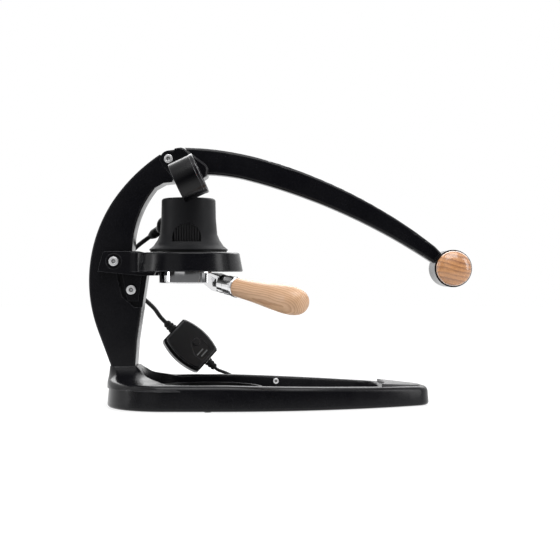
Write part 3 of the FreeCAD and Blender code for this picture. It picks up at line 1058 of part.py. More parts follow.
def controller():
    """Hand-sized controller on the heater lead: two shells, a button and its light bars."""
    lights = (("light_x", "light_y"), ("light_x + light_step_x", "light_y + light_step_y"))

    def settle(thing):
        return place(thing, "box_x", "box_y", "box_z", BOX_TURN)

    back = new_body("controller_back")
    extrude(back, outline(sketch(back, "XY_Plane"), box_outline("0")), "box_back", reverse=True)
    soften(back, "2.4", lambda edge: edge.CenterOfMass.z < size("0.1 - box_back"), "Chamfer")
    hollow = outline(sketch(back, "XY_Plane"), box_outline("box_wall"))
    extrude(back, hollow, "box_back - box_wall", "Pocket")
    settle(back)
    front = new_body("controller_front")
    extrude(front, outline(sketch(front, "XY_Plane", "box_gap"), box_outline("box_step")),
            "box_front - box_gap")
    soften(front, "1.5", lambda edge: edge.CenterOfMass.z > size("box_front - 0.1"), "Chamfer")
    hollow = outline(sketch(front, "XY_Plane", "box_gap"), box_outline("box_step + box_wall"))
    extrude(front, hollow, "box_front - box_gap - 2.4", "Pocket", reverse=True)
    recess = outline(sketch(front, "XY_Plane", "box_front"), [
        ("-2.5", "3"), ("3", "-3"), ("12", "-8"), ("22", "-6"), ("22", "10.5"), ("4", "12.5")])
    extrude(front, recess, "0.7", "Pocket")
    well = circle(sketch(front, "XY_Plane", "box_front"), "button_x", "button_y",
                  "button_radius + 0.25")
    extrude(front, well, "10", "Pocket")
    slots = sketch(front, "XY_Plane", "box_front")
    for x, y in lights:
        outline(slots, oblong(x, y, "light_wide + 0.1", "light_half + 0.1"))
    extrude(front, slots, "light_seat", "Pocket")
    settle(front)
    button = new_body("controller_button")
    extrude(button, circle(sketch(button, "XY_Plane", "box_front - button_travel_room"),
                           "button_x", "button_y", "button_radius"), "button_travel_room + 0.5")
    flange = circle(sketch(button, "XY_Plane", "box_front - button_travel_room - 0.5"),
                    "button_x", "button_y", "button_radius + 1.1")
    extrude(button, flange, "0.9")
    settle(button)
    board = new_body("circuit_board")
    extrude(board, outline(sketch(board, "XY_Plane", "board_z"), [
        ("board_rear", "-board_half"), ("board_front", "-board_half"),
        ("board_front", "board_half"), ("board_rear", "board_half")]), "board_thick")
    chips = sketch(board, "XY_Plane", "board_z + board_thick")
    for x, y, half, tall in (("-12", "-3", "4", "5"), ("12", "-6", "4.5", "3.2"),
                             ("-3", "5.5", "2.6", "2.6"), ("-4", "-6", "2", "2.8")):
        outline(chips, oblong(x, y, half, tall))
    extrude(board, chips, "chip_tall")
    settle(board)
    bars = []
    for step, (x, y) in enumerate(lights):
        bar = new_body(f"light_bar_{step}", False)
        extrude(bar, outline(sketch(bar, "XY_Plane", "box_front - light_seat + 0.1"),
                             oblong(x, y, "light_wide", "light_half")), "light_seat - 0.4")
        bars.append(settle(bar))
    group("light_bars", bars)
    for label, start, turn, wire in (
            ("upper_boot", "-box_length / 2", -90, "lead_diameter"),
            ("lower_boot", "box_length / 2", 90, "supply_diameter")):
        inner = f"{wire} / 2"
        boot = turned(label, [
            (inner, "0.1"), (f"{inner} + boot_flange", "0.1"), (f"{inner} + boot_flange", "2.6"),
            (f"{inner} + boot_groove", "3"), (f"{inner} + boot_groove", "4.2"),
            (f"{inner} + boot_rib", "4.6"), (f"{inner} + boot_rib - 0.1", "6.6"),
            (f"{inner} + boot_groove - boot_taper + 0.1", "7"),
            (f"{inner} + boot_groove - boot_taper", "8.2"),
            (f"{inner} + boot_rib - boot_taper", "8.6"),
            (f"{inner} + boot_rib - boot_taper - 0.2", "10.6"),
            (f"{inner} + boot_groove - 2 * boot_taper", "11"),
            (f"{inner} + boot_groove - 2 * boot_taper - 0.1", "boot_length"),
            (inner, "boot_length")], x=None)
        base = in_box(size(start))
        boot.Placement = Placement(base, BOX_TURN * Rotation(Vector(0, 1, 0), turn))


def rounded_path(points):
    """Straight runs joined by tangent arcs: each arc is as large as its two runs allow."""
    edges = []
    radii = []
    start = points[0]
    for before, corner, after in zip(points, points[1:], points[2:]):
        back, ahead = before - corner, after - corner
        half_turn = (math.pi - back.getAngle(ahead)) / 2
        cut = 0.45 * min(back.Length, ahead.Length)
        radii.append(cut / math.tan(half_turn))
        first = corner + back.normalize() * cut
        last = corner + ahead.normalize() * cut
        to_centre = (back + ahead).normalize()
        depth = radii[-1] / math.cos(half_turn) - radii[-1]
        edges.append(Part.LineSegment(start, first).toShape())
        edges.append(Part.Arc(first, corner + to_centre * depth, last).toShape())
        start = last
    edges.append(Part.LineSegment(start, points[-1]).toShape())
    return Part.Wire(edges), radii


def tube(label, path, diameter):
    """A round tube along a path of runs and arcs."""
    edge = path.Edges[0]
    heading = edge.tangentAt(edge.FirstParameter)
    ring = Part.Wire([Part.Circle(edge.valueAt(edge.FirstParameter), heading,
                                  diameter / 2).toShape()])
    solid = path.makePipeShell([ring], True, False)
    expected = math.pi * diameter ** 2 / 4 * path.Length
    print(f"{label}: length {path.Length:.1f}, volume share {solid.Volume / expected:.4f}")
    piece = doc.addObject("Part::Feature", label)
    piece.Shape = solid
    return node(piece, label)


def heater_lead():
    """The lead from the plug, down behind the post, to the controller's upper boot."""
    start = Vector(size("lead_exit_x"), size("lead_exit_y"), size("lead_exit_z"))
    end = in_box(-size("box_length / 2 + boot_length"))
    points = [start, start + LEAD_OUT * 13, Vector(-3, 35.5, 169), Vector(-12, 39, 155),
              Vector(-14.5, 42, 139.5), Vector(-7.5, 47, 128), Vector(2.5, 53, 121),
              end - BOX_TURN.multVec(Vector(19, 0, 0)) + Vector(2, -9, 4.2),
              end - BOX_TURN.multVec(Vector(9, 0, 0)), end]
    path, radii = rounded_path(points)
    print("heater lead radii", [round(radius, 1) for radius in radii])
    tube("heater_lead", path, size("lead_diameter"))


def coil_point(turns):
    """A point on the put-away coil, counted in turns from its top outer start."""
    per_layer = size("coil_turns_per_layer")
    layers = size("coil_layers")
    pitch = size("coil_pitch")
    layer = min(int(turns / per_layer), int(layers) - 1)
    within = turns - layer * per_layer
    blend = 0.25
    share = within if layer % 2 == 0 else per_layer - within
    ends = [end for end in (0.0, per_layer) if abs(share - end) < blend]
    at_reversal = [end for end in ends
                   if per_layer * 0.5 < turns < per_layer * layers - per_layer * 0.5]
    if at_reversal:
        away = abs(share - at_reversal[0])
        smooth = (away ** 2 / blend + blend) / 2
        share = smooth if at_reversal[0] == 0.0 else per_layer - smooth
    radius = size("coil_outer") - pitch * share
    nearest = round(turns / per_layer)
    lag = (turns - nearest * per_layer) / blend
    step = min(max(lag, -1.0), 1.0)
    climb = nearest - 0.5 + (step * (3 - step ** 2) / 2) / 2 if 0 < nearest < layers else layer
    height = size("coil_floor") + size("coil_rise") * (layers - 1 - climb)
    angle = 2 * math.pi * turns - math.pi / 2
    return Vector(size("coil_x") + radius * math.cos(angle),
                  size("coil_y") + radius * math.sin(angle), height)


def biarc(first, heading, last, end_heading):
    """Two arcs that join two points, each along its own heading."""
    chord = last - first
    both = heading + end_heading
    bend = 2 * (1 - heading.dot(end_heading))
    reach = (-chord.dot(both) + math.sqrt(chord.dot(both) ** 2 + bend * chord.dot(chord))) / bend
    knees = (first + heading * reach, last - end_heading * reach)
    joint = (knees[0] + knees[1]) * 0.5
    arcs = []
    for start, knee, stop in ((first, knees[0], joint), (joint, knees[1], last)):
        middle = (start + stop) * 0.5
        half = (stop - start).Length / 2
        lean = (knee - start).getAngle(stop - start)
        top = middle + (knee - middle).normalize() * (half * math.tan(lean / 2))
        arcs.append(Part.Arc(start, top, stop).toShape())
    return arcs


def coil_heading(turns):
    """Unit heading of the coil at a place along it."""
    step = 0.002
    return (coil_point(turns + step) - coil_point(turns - step)).normalize()


def supply_coil():
    """The put-away length: eight turns in four layers, wound in and out from the top down."""
    total = size("coil_turns_per_layer * coil_layers")
    lead_in = coil_point(0) - coil_heading(0) * size("supply_diameter")
    lead_out = coil_point(total) + coil_heading(total) * size("supply_diameter")
    edges = [Part.LineSegment(lead_in, coil_point(0)).toShape()]
    for quarter in range(int(total * 4)):
        first, last = quarter / 4, (quarter + 1) / 4
        edges += biarc(coil_point(first), coil_heading(first), coil_point(last),
                       coil_heading(last))
    radii = [edge.Curve.Radius for edge in edges[1:]]
    edges.append(Part.LineSegment(coil_point(total), lead_out).toShape())
    samples = [coil_point(step / 40) for step in range(int(total * 40) + 1)]
    gap = min((a - b).Length for i, a in enumerate(samples) for b in samples[i + 20:])
    print(f"coil radii {min(radii):.1f} to {max(radii):.1f}, "
          f"least gap {gap - size('supply_diameter'):.2f}")
    tube("supply_coil", Part.Wire(edges), size("supply_diameter"))
    return lead_in, lead_out


def supply_lead(lead_in, lead_out):
    """The thin lead over the far rim to the coil, its tail, and the barrel plug at its end."""
    start = in_box(size("box_length / 2 + boot_length"))
    ahead = BOX_TURN.multVec(Vector(1, 0, 0))
    points = [start, start + ahead * 3.6, Vector(97.5, 80.2, 30.2), Vector(104, 84.9, 27.2),
              Vector(110.4, 90.2, 23.2), Vector(116.8, 96.2, 19), Vector(123.2, 102.6, 15.6),
              Vector(131, 110.8, 13.9), lead_in - coil_heading(0) * 6.7, lead_in]
    path, radii = rounded_path(points)
    print("supply lead radii", [round(radius, 1) for radius in radii])
    tube("supply_lead", path, size("supply_diameter"))
    rise = size("plug_axis") - lead_out.z
    turns = size("coil_turns_per_layer * coil_layers")
    tail = [lead_out, lead_out + coil_heading(turns) * 6, lead_out + Vector(14, -3.6, 0.8),
            lead_out + Vector(22.5, -7, rise), lead_out + Vector(29, -7, rise)]
    path, radii = rounded_path(tail)
    print("supply tail radii", [round(radius, 1) for radius in radii])
    tube("supply_tail", path, size("supply_diameter"))
    plug = turned("supply_plug", [
        (0, 0), ("supply_diameter / 2 + 0.5", 0), ("3.2", "relief_length - 1"),
        ("3.4", "relief_length"), ("supply_plug_radius", "relief_length"),
        ("supply_plug_radius", "plug_body_end - 1"), ("supply_plug_radius - 0.8", "plug_body_end"),
        ("barrel_tip_radius", "plug_body_end"), ("barrel_tip_radius", "barrel_end - 0.3"),
        ("barrel_tip_radius - 0.3", "barrel_end"), ("barrel_tip_hole", "barrel_end"),
        ("barrel_tip_hole", "plug_body_end + 1"), (0, "plug_body_end + 1")], x=None)
    plug.Placement = Placement(tail[-1], Rotation(UPRIGHT, Vector(1, 0, 0)))


def write_parts():
    """Check every object, then write each part's solid."""
    doc.recompute()
    for thing in doc.Objects:
        if any(state in ("Invalid", "Error") for state in thing.State):
            raise RuntimeError(f"{thing.Label} failed: {thing.State}")
    os.makedirs("parts", exist_ok=True)
    for thing in NODES:
        if thing.Shape.isNull() or not thing.Shape.isValid() or not thing.Shape.Solids:
            raise RuntimeError(f"{thing.Label} has no valid shape")
        if thing.TypeId == "PartDesign::Body" and len(thing.Shape.Solids) != 1:
            raise RuntimeError(f"{thing.Label} is in {len(thing.Shape.Solids)} pieces")
        thing.Shape.exportStep(f"parts/{thing.Label}.step")
    print(f"{len(NODES)} parts")


base_frame()
base_feet()
post()
post_bolts()
group_arm()
arm_fasteners()
lever()
pivot_pieces()
lever_grip()
plunger()
brew_head()
brew_sleeve()
heater_plug()
portafilter()
gauge()
drip_tray()
nose_plate()
controller()
heater_lead()
supply_lead(*supply_coil())
write_parts()
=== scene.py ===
import json
import logging
import math
from dataclasses import dataclass
from enum import Enum

import bpy
import numpy as np
from mathutils import Matrix, Vector


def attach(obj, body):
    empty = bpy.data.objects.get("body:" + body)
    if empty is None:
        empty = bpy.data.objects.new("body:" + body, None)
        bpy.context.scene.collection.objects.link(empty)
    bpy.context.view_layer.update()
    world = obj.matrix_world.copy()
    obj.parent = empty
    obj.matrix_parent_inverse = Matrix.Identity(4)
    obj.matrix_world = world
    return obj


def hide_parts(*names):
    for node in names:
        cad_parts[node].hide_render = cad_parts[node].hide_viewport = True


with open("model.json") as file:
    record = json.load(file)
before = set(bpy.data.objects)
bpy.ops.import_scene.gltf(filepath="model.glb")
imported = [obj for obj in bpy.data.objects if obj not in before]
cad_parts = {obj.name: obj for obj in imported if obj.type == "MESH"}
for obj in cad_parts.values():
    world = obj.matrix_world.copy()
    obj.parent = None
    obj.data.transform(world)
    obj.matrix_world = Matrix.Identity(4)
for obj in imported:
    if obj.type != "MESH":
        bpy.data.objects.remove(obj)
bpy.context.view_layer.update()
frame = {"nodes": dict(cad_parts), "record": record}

# Lever espresso maker: the finish of its solids, its cords, wooden grips, gauge print and studio.
# Lengths are in metres. +X runs from the post towards the person who pulls the lever, +Z is up,
# and the origin is on the table under the post.

LOG = logging.getLogger("espresso_maker")
MM = 0.001
X_AXIS = Vector((1.0, 0.0, 0.0))
Y_AXIS = Vector((0.0, 1.0, 0.0))

Colour = tuple[float, float, float]
Triple = tuple[float, float, float]
Pair = tuple[float, float]
Array = np.ndarray
Socket = bpy.types.NodeSocket
Sockets = bpy.types.bpy_prop_collection
Tree = bpy.types.NodeTree
Node = bpy.types.Node
Material = bpy.types.Material
Piece = bpy.types.Object

# Places that several pieces share: the brew head's axis and the middle of the lever's grips.
BREW_X = 64.5 * MM
GRIP_CENTRE = (352.0 * MM, 0.0, 149.5 * MM)

# Samples of the rounded edge normals in the finishes.
BEVEL_SAMPLES = 4


def grey(level: float) -> Colour:
    """A neutral colour."""
    return (level, level, level)


def link_new(name: str, data: bpy.types.ID) -> Piece:
    """A new object at the scene's origin, which holds the data.

    Args:
        name: the object's name.
        data: its mesh, curve, camera or lamp.

    Returns:
        The new object.
    """
    made = bpy.data.objects.new(name, data)
    bpy.context.scene.collection.objects.link(made)
    return made


class Body(Enum):
    """The rigid bodies that pieces ride on."""

    FRAME = "frame"
    LEVER = "lever"
    PORTAFILTER = "portafilter"
    GAUGE = "gauge"


class Graph:
    """Fills one node tree, a node per call."""

    def __init__(self, tree: Tree) -> None:
        """Take a tree and empty it."""
        self.tree = tree
        tree.nodes.clear()

    def add(self, kind: str, inputs: dict | None = None, **settings: object) -> Node:
        """Add a shader node.

        Args:
            kind: the node's type without its ShaderNode prefix.
            inputs: values or sockets by input name or number.
            settings: the node's own properties.

        Returns:
            The new node.
        """
        node = self.tree.nodes.new("ShaderNode" + kind)
        for name, value in settings.items():
            setattr(node, name, value)
        for name, value in (inputs or {}).items():
            self.feed(node.inputs[name], value)
        return node

    def feed(self, socket: Socket, value: object) -> None:
        """Link a socket to another, or set its value.

        Args:
            socket: the input to feed.
            value: an output socket, a number or a colour.
        """
        if isinstance(value, Socket):
            self.tree.links.new(value, socket)
        elif isinstance(value, tuple) and len(value) == 3 and socket.type == "RGBA":
            socket.default_value = (*value, 1.0)
        else:
            socket.default_value = value

    def math(self, operation: str, first: object, second: object) -> Socket:
        """One step of arithmetic on two values or sockets; it returns the result's socket."""
        return self.add("Math", {0: first, 1: second}, operation=operation).outputs[0]

    def total(self, *terms: tuple[object, object]) -> Socket:
        """Add up terms, each a value times its weight.

        Args:
            terms: pairs of value and weight.

        Returns:
            The sum's socket.
        """
        result = self.math("MULTIPLY", *terms[0])
        for term in terms[1:]:
            result = self.math("ADD", result, self.math("MULTIPLY", *term))
        return result

    def mix(self, share: object, first: object, second: object) -> Socket:
        """Blend two colours by a share from 0 to 1; it returns the colour's socket."""
        node = self.add("Mix", data_type="RGBA")
        self.feed(node.inputs[0], share)
        self.feed(node.inputs[6], first)
        self.feed(node.inputs[7], second)
        return node.outputs[2]

    def spread(self, value: object, low: float, high: float, out_low: float = 0.0,
               out_high: float = 1.0) -> Socket:
        """Map a range of values onto another smoothly.

        Args:
            value: the socket to map.
            low: value that gives out_low.
            high: value that gives out_high.
            out_low: result at the low end.
            out_high: result at the high end.

        Returns:
            The mapped value's socket.
        """
        names = {"Value": value, "From Min": low, "From Max": high, "To Min": out_low,
                 "To Max": out_high}
        return self.add("MapRange", names, interpolation_type="SMOOTHSTEP").outputs[0]

    def noise(self, vector: object, scale: object, detail: float = 2.0,
              distortion: float = 0.0) -> Socket:
        """Soft noise; it returns the value's socket."""
        names = {"Vector": vector, "Scale": scale, "Detail": detail, "Distortion": distortion}
        return self.add("TexNoise", names).outputs[0]

    def scaled(self, vector: object, factors: Triple) -> Socket:
        """Stretch a pattern's coordinates; it returns the vector's socket."""
        return self.add("VectorMath", {0: vector, 1: factors}, operation="MULTIPLY").outputs[0]


@dataclass(frozen=True)
class Lie:
    """Where a pattern's own axis lies: a point on it and its direction."""

    origin: Triple = (0.0, 0.0, 0.0)
    axis: Triple = (1.0, 0.0, 0.0)

    def coordinates(self, graph: Graph) -> Socket:
        """Object coordinates turned so that the axis is +X and its point is at zero.

        Args:
            graph: the material's graph.

        Returns:
            The vector's socket.
        """
        turn = Vector(self.axis).rotation_difference(X_AXIS).to_matrix()
        shift = -(turn @ Vector(self.origin))
        source = graph.add("TexCoord").outputs["Object"]
        mapping = graph.add("Mapping", {"Vector": source, "Location": tuple(shift)})
        mapping.inputs["Rotation"].default_value = turn.to_euler("XYZ")
        return mapping.outputs[0]


class SharedEffects:
    """Node groups that several finishes use, each made once."""

    def __init__(self) -> None:
        """Make every group."""
        self.edge_wear_and_highlight = self._edge_wear_and_highlight()
        self.powder_grain = self._powder_grain()
        self.wood_grain = self._wood_grain()
        self.turning_marks = self._turning_marks()
        self.handling = self._handling()

    @staticmethod
    def _open(name: str, inputs: dict[str, object],
              **outputs: str) -> tuple[Graph, Sockets, Sockets]:
        """Start a group that takes a pattern's vector and other values.

        Args:
            name: the group's name.
            inputs: default number or colour by name.
            outputs: socket kind by name.

        Returns:
            The group's graph, the values given to it, and its results' sockets.
        """
        tree = bpy.data.node_groups.new(name, "ShaderNodeTree")
        add_socket = tree.interface.new_socket
        add_socket("Vector", in_out="INPUT", socket_type="NodeSocketVector")
        for label, value in inputs.items():
            kind = "Color" if isinstance(value, tuple) else "Float"
            socket = add_socket(label, in_out="INPUT", socket_type="NodeSocket" + kind)
            socket.default_value = value
        for label, kind in outputs.items():
            add_socket(label, in_out="OUTPUT", socket_type="NodeSocket" + kind)
        graph = Graph(tree)
        given = tree.nodes.new("NodeGroupInput").outputs
        return graph, given, tree.nodes.new("NodeGroupOutput").inputs

    def _edge_wear_and_highlight(self) -> Tree:
        """Edge mask for wear and painted highlight: where a rounded normal leaves the true one,
        broken up by noise.
        """
        graph, given, result = self._open("edge_wear_and_highlight", {"Radius": 0.0006, "Reach": 0.06},
                                          Mask="Float")
        rounded = graph.add("Bevel", {"Radius": given["Radius"]}, samples=BEVEL_SAMPLES)
        plain = graph.add("NewGeometry").outputs["Normal"]
        dot = graph.add("VectorMath", {0: rounded.outputs[0], 1: plain}, operation="DOT_PRODUCT")
        away = graph.math("SUBTRACT", 1.0, dot.outputs["Value"])
        edge = graph.math("DIVIDE", away, given["Reach"])
        patches = graph.spread(graph.noise(given["Vector"], 140.0, 3.0), 0.35, 0.65, 0.25)
        mask = graph.math("MULTIPLY", graph.math("MINIMUM", edge, 1.0), patches)
        graph.feed(result["Mask"], mask)
        return graph.tree

    def _powder_grain(self) -> Tree:
        """Orange peel of a powder coat or moulded grain: two sizes of soft lumps."""
        graph, given, result = self._open("powder_grain", {"Scale": 1200.0}, Height="Float",
                                          Speck="Float")
        fine = graph.noise(given["Vector"], given["Scale"], 2.0)
        cells = graph.add("TexVoronoi", {"Vector": given["Vector"], "Scale": given["Scale"]},
                          feature="SMOOTH_F1").outputs["Distance"]
        broad = graph.noise(given["Vector"], graph.math("MULTIPLY", given["Scale"], 0.3), 1.0)
        graph.feed(result["Height"], graph.total((fine, 0.6), (cells, 0.5), (broad, 0.4)))
        graph.feed(result["Speck"], graph.spread(fine, 0.55, 0.75))
        return graph.tree

    def _wood_grain(self) -> Tree:
        """Turned wood along X: year rings about a slanting axis beside the piece, and pores."""
        graph, given, result = self._open(
            "wood_grain", {"Light": (1, 1, 1, 1), "Dark": (0, 0, 0, 1), "Rings": 95.0, "Pores": 0.4,
                           "Figure": 0.38, "Cloud": 0.35, "Streaks": 0.3},
            Color="Color", Height="Float", Pore="Float")

        def drawn_out(along: float, across_it: float, detail: float) -> Socket:
            """Noise stretched along the wood, with waves per metre both ways."""
            stretch = (along, across_it, across_it)
            return graph.noise(graph.scaled(given["Vector"], stretch), 1.0, detail)

        slanted = graph.add("Mapping", {"Vector": given["Vector"], "Location": (0.0, 0.031, 0.024),
                                        "Rotation": (0.0, 0.05, 0.11), "Scale": (0.55, 1.0, 1.0)})
        bend = graph.math("MULTIPLY", drawn_out(14.0, 42.0, 2.0), 0.007)
        shifted = graph.add("VectorMath", {0: slanted.outputs[0], 1: bend}, operation="ADD")
        rings = graph.add("TexWave", {"Vector": shifted.outputs[0], "Scale": given["Rings"]},
                          wave_type="RINGS", rings_direction="X", wave_profile="SAW")
        ring_share = graph.spread(rings.outputs["Fac"], 0.25, 1.0)
        streaks = drawn_out(45.0, 900.0, 3.0)
        pores = graph.spread(drawn_out(220.0, 2400.0, 2.0), 0.6, 0.72)
        share = graph.total((ring_share, given["Figure"]),
                            (drawn_out(18.0, 60.0, 3.0), given["Cloud"]),
                            (streaks, given["Streaks"]), (pores, given["Pores"]))
        colour = graph.mix(graph.spread(share, 0.15, 1.05), given["Light"], given["Dark"])
        graph.feed(result["Color"], colour)
        graph.feed(result["Height"], graph.math("SUBTRACT", streaks, pores))
        graph.feed(result["Pore"], pores)
        return graph.tree

    def _turning_marks(self) -> Tree:
        """Fine lines round a turned piece, closely spaced along X."""
        graph, given, result = self._open("turning_marks", {"Scale": 9000.0}, Height="Float")
        squeezed = graph.scaled(given["Vector"], (1.0, 0.02, 0.02))
        graph.feed(result["Height"], graph.noise(squeezed, given["Scale"], 2.0))
        return graph.tree

    def _handling(self) -> Tree:
        """Large soft patches where hands and cloths have changed the gloss."""
        graph, given, result = self._open("handling", {"Low": 0.3, "High": 0.5}, Value="Float")
        patches = graph.spread(graph.noise(given["Vector"], 38.0, 4.0, 0.6), 0.25, 0.75)
        span = graph.math("SUBTRACT", given["High"], given["Low"])
        value = graph.math("ADD", given["Low"], graph.math("MULTIPLY", patches, span))
        graph.feed(result["Value"], value)
        return graph.tree


EFFECTS = SharedEffects()


class Finish:
    """A material under construction: its graph, its shader and its pattern coordinates."""

    def __init__(self, name: str, lie: Lie = Lie()) -> None:
        """Start a material.

        Args:
            name: the material's name.
            lie: where the patterns' own axis lies.
        """
        self.material = bpy.data.materials.new(name)
        self.material.use_nodes = True
        self.graph = Graph(self.material.node_tree)
        self.shader = self.graph.add("BsdfPrincipled")
        out = self.graph.add("OutputMaterial", {"Surface": self.shader.outputs[0]})
        out.is_active_output = True
        self.vector = lie.coordinates(self.graph)

    def group(self, tree: Tree, **inputs: object) -> Node:
        """Place a shared effect with its own values; it returns the group node."""
        node = self.graph.add("Group", node_tree=tree)
        self.graph.feed(node.inputs["Vector"], self.vector)
        for name, value in inputs.items():
            self.graph.feed(node.inputs[name], value)
        return node

    def patchy(self, low: float, high: float) -> Socket:
        """Roughness that changes softly between two values."""
        return self.group(EFFECTS.handling, Low=low, High=high).outputs["Value"]

    def set(self, **values: object) -> None:
        """Set the shader's sockets, with underscores for the spaces in their names."""
        for name, value in values.items():
            self.graph.feed(self.shader.inputs[name.replace("_", " ")], value)

    def relief(self, height: object, depth: float, edge: float = 0.0) -> None:
        """Raise the surface by a height pattern, with optional rounded edges.

        Args:
            height: socket of a height from 0 to 1.
            depth: the height's full size in metres.
            edge: radius of the rounded edges in metres, or 0.
        """
        bump = self.graph.add("Bump", {"Height": height, "Distance": depth, "Strength": 1.0})
        if edge:
            rounded = self.graph.add("Bevel", {"Radius": edge}, samples=BEVEL_SAMPLES)
            self.graph.feed(bump.inputs["Normal"], rounded.outputs[0])
        self.graph.feed(self.shader.inputs["Normal"], bump.outputs[0])


@dataclass(frozen=True)
class Coating:
    """Powder coat, moulded plastic, silicone or rubber: grain, patchy gloss, and lighter edges that
    are part wear and part painted highlight.
    """

    name: str
    colour: Colour
    wear_and_highlight: Colour
    gloss: Pair = (0.36, 0.5)
    specular: float = 0.35
    grain: float = 1500.0
    depth: float = 0.00003
    edge: float = 0.0004
    wear_and_highlight_share: float = 0.5
    sheen: float = 0.0
    speck: float = 0.12
    wear_and_highlight_width: float = 1.6

    def build(self) -> Material:
        """Make the material."""
        made = Finish(self.name)
        graph = made.graph
        grain = made.group(EFFECTS.powder_grain, Scale=self.grain)
        # The edge colour is partly wear and partly a painted highlight along the edges.
        wear_and_highlight = made.group(EFFECTS.edge_wear_and_highlight, Radius=self.edge * self.wear_and_highlight_width)
        speckled = graph.mix(graph.math("MULTIPLY", grain.outputs["Speck"], self.speck),
                             self.colour, self.wear_and_highlight)
        wear_and_highlight_share = graph.math("MULTIPLY", wear_and_highlight.outputs["Mask"], self.wear_and_highlight_share)
        made.set(Base_Color=graph.mix(wear_and_highlight_share, speckled, self.wear_and_highlight),
                 Roughness=made.patchy(*self.gloss), Specular_IOR_Level=self.specular)
        if self.sheen:
            made.set(Sheen_Weight=self.sheen, Sheen_Roughness=0.5)
        made.relief(grain.outputs["Height"], self.depth, self.edge)
        return made.material


@dataclass(frozen=True)
class TurnedMetal:
    """Bare, brushed or plated metal with fine lines round its own axis, and optional painted shade
    in its recesses.
    """

    name: str
    colour: Colour
    lie: Lie = Lie()
    gloss: Pair = (0.12, 0.22)
    depth: float = 0.000004
    edge: float = 0.0002
    painted_shade_reach: float = 0.0
    tarnish: float = 0.72

    def build(self) -> Material:
        """Make the material."""
        made = Finish(self.name, self.lie)
        graph = made.graph
        marks = made.group(EFFECTS.turning_marks)
        patches = graph.spread(graph.noise(made.vector, 90.0, 3.0), 0.3, 0.8, 0.0, 0.22)
        duller = tuple(part * self.tarnish for part in self.colour)
        colour = graph.mix(patches, self.colour, duller)
        # Painted shade: ambient occlusion darkens recesses, such as screw sockets, towards near
        # black.
        if self.painted_shade_reach:
            open_sky = graph.add("AmbientOcclusion", {"Distance": self.painted_shade_reach}, samples=8)
            closed = graph.spread(open_sky.outputs["AO"], 0.45, 0.9, 0.92, 0.0)
            colour = graph.mix(closed, colour, grey(0.01))
        made.set(Base_Color=colour, Metallic=1.0, Roughness=made.patchy(*self.gloss))
        made.relief(marks.outputs["Height"], self.depth, self.edge)
        return made.material


@dataclass(frozen=True)
class TurnedWood:
    """Oiled or lacquered wood, turned about its own axis."""

    name: str
    light: Colour
    dark: Colour
    lie: Lie
    rings: float = 95.0
    pores: float = 0.35
    gloss: float = 0.42
    coat: float = 0.15
    coat_gloss: float = 0.25
    figure: float = 0.38
    cloud: float = 0.35
    depth: float = 0.00002
    streaks: float = 0.3

    def build(self) -> Material:
        """Make the material."""
        made = Finish(self.name, self.lie)
        graph = made.graph
        grain = made.group(EFFECTS.wood_grain, Light=(*self.light, 1.0), Dark=(*self.dark, 1.0),
                           Rings=self.rings, Pores=self.pores, Figure=self.figure,
                           Cloud=self.cloud, Streaks=self.streaks)
        rougher = graph.math("MULTIPLY", grain.outputs["Pore"], 0.2)
        made.set(Base_Color=grain.outputs["Color"],
                 Roughness=graph.math("ADD", rougher, self.gloss), Specular_IOR_Level=0.45,
                 Coat_Weight=self.coat, Coat_Roughness=self.coat_gloss)
        made.relief(grain.outputs["Height"], self.depth)
        return made.material


@dataclass(frozen=True)
class ClearGlass:
    """The gauge's window: clear glass with faint wiping marks."""

    name: str
    colour: Colour = (0.96, 0.98, 0.98)
    gloss: Pair = (0.01, 0.05)
    bend: float = 1.45

    def build(self) -> Material:
        """Make the material."""
        made = Finish(self.name)
        made.set(Base_Color=self.colour, Roughness=made.patchy(*self.gloss),
                 Transmission_Weight=1.0, IOR=self.bend)
        return made.material


@dataclass(frozen=True)
class Lacquer:
    """Smooth printed or sprayed colour with a little unevenness."""

    name: str
    colour: Colour
    gloss: float = 0.45
    glow: float = 0.0
    gloss_spread: float = 0.06
    shade: float = 0.8

    def build(self) -> Material:
        """Make the material."""
        made = Finish(self.name)
        graph = made.graph
        patches = graph.spread(graph.noise(made.vector, 220.0, 3.0), 0.3, 0.7, 0.0, 0.3)
        shade = tuple(part * self.shade for part in self.colour)
        gloss = made.patchy(self.gloss - self.gloss_spread, self.gloss + self.gloss_spread)
        grain = made.group(EFFECTS.powder_grain, Scale=2600.0)
        made.set(Base_Color=graph.mix(patches, self.colour, shade), Roughness=gloss)
        if self.glow:
            made.set(Emission_Color=(*self.colour, 1.0), Emission_Strength=self.glow)
        made.relief(grain.outputs["Height"], 0.000008)
        return made.material


@dataclass(frozen=True)
class BoardLacquer:
    """Green solder lacquer over copper tracks."""

    name: str
    green: Colour = (0.02, 0.14, 0.06)
    copper: Colour = (0.10, 0.26, 0.10)

    def build(self) -> Material:
        """Make the material."""
        made = Finish(self.name)
        graph = made.graph
        bricks = graph.add("TexBrick", {"Vector": made.vector, "Scale": 120.0, "Mortar Size": 0.06,
                                        "Color1": (0, 0, 0, 1), "Color2": (0, 0, 0, 1),
                                        "Mortar": (1, 1, 1, 1)})
        made.set(Base_Color=graph.mix(bricks.outputs["Color"], self.green, self.copper),
                 Roughness=0.3)
        made.relief(bricks.outputs["Color"], 0.00003)
        return made.material


BREW_AXIS = Lie((BREW_X, 0.0, 0.0), (0.0, 0.0, 1.0))
FRAME_DEPTH = Lie((0.0, 0.0, 0.0), (0.0, 1.0, 0.0))


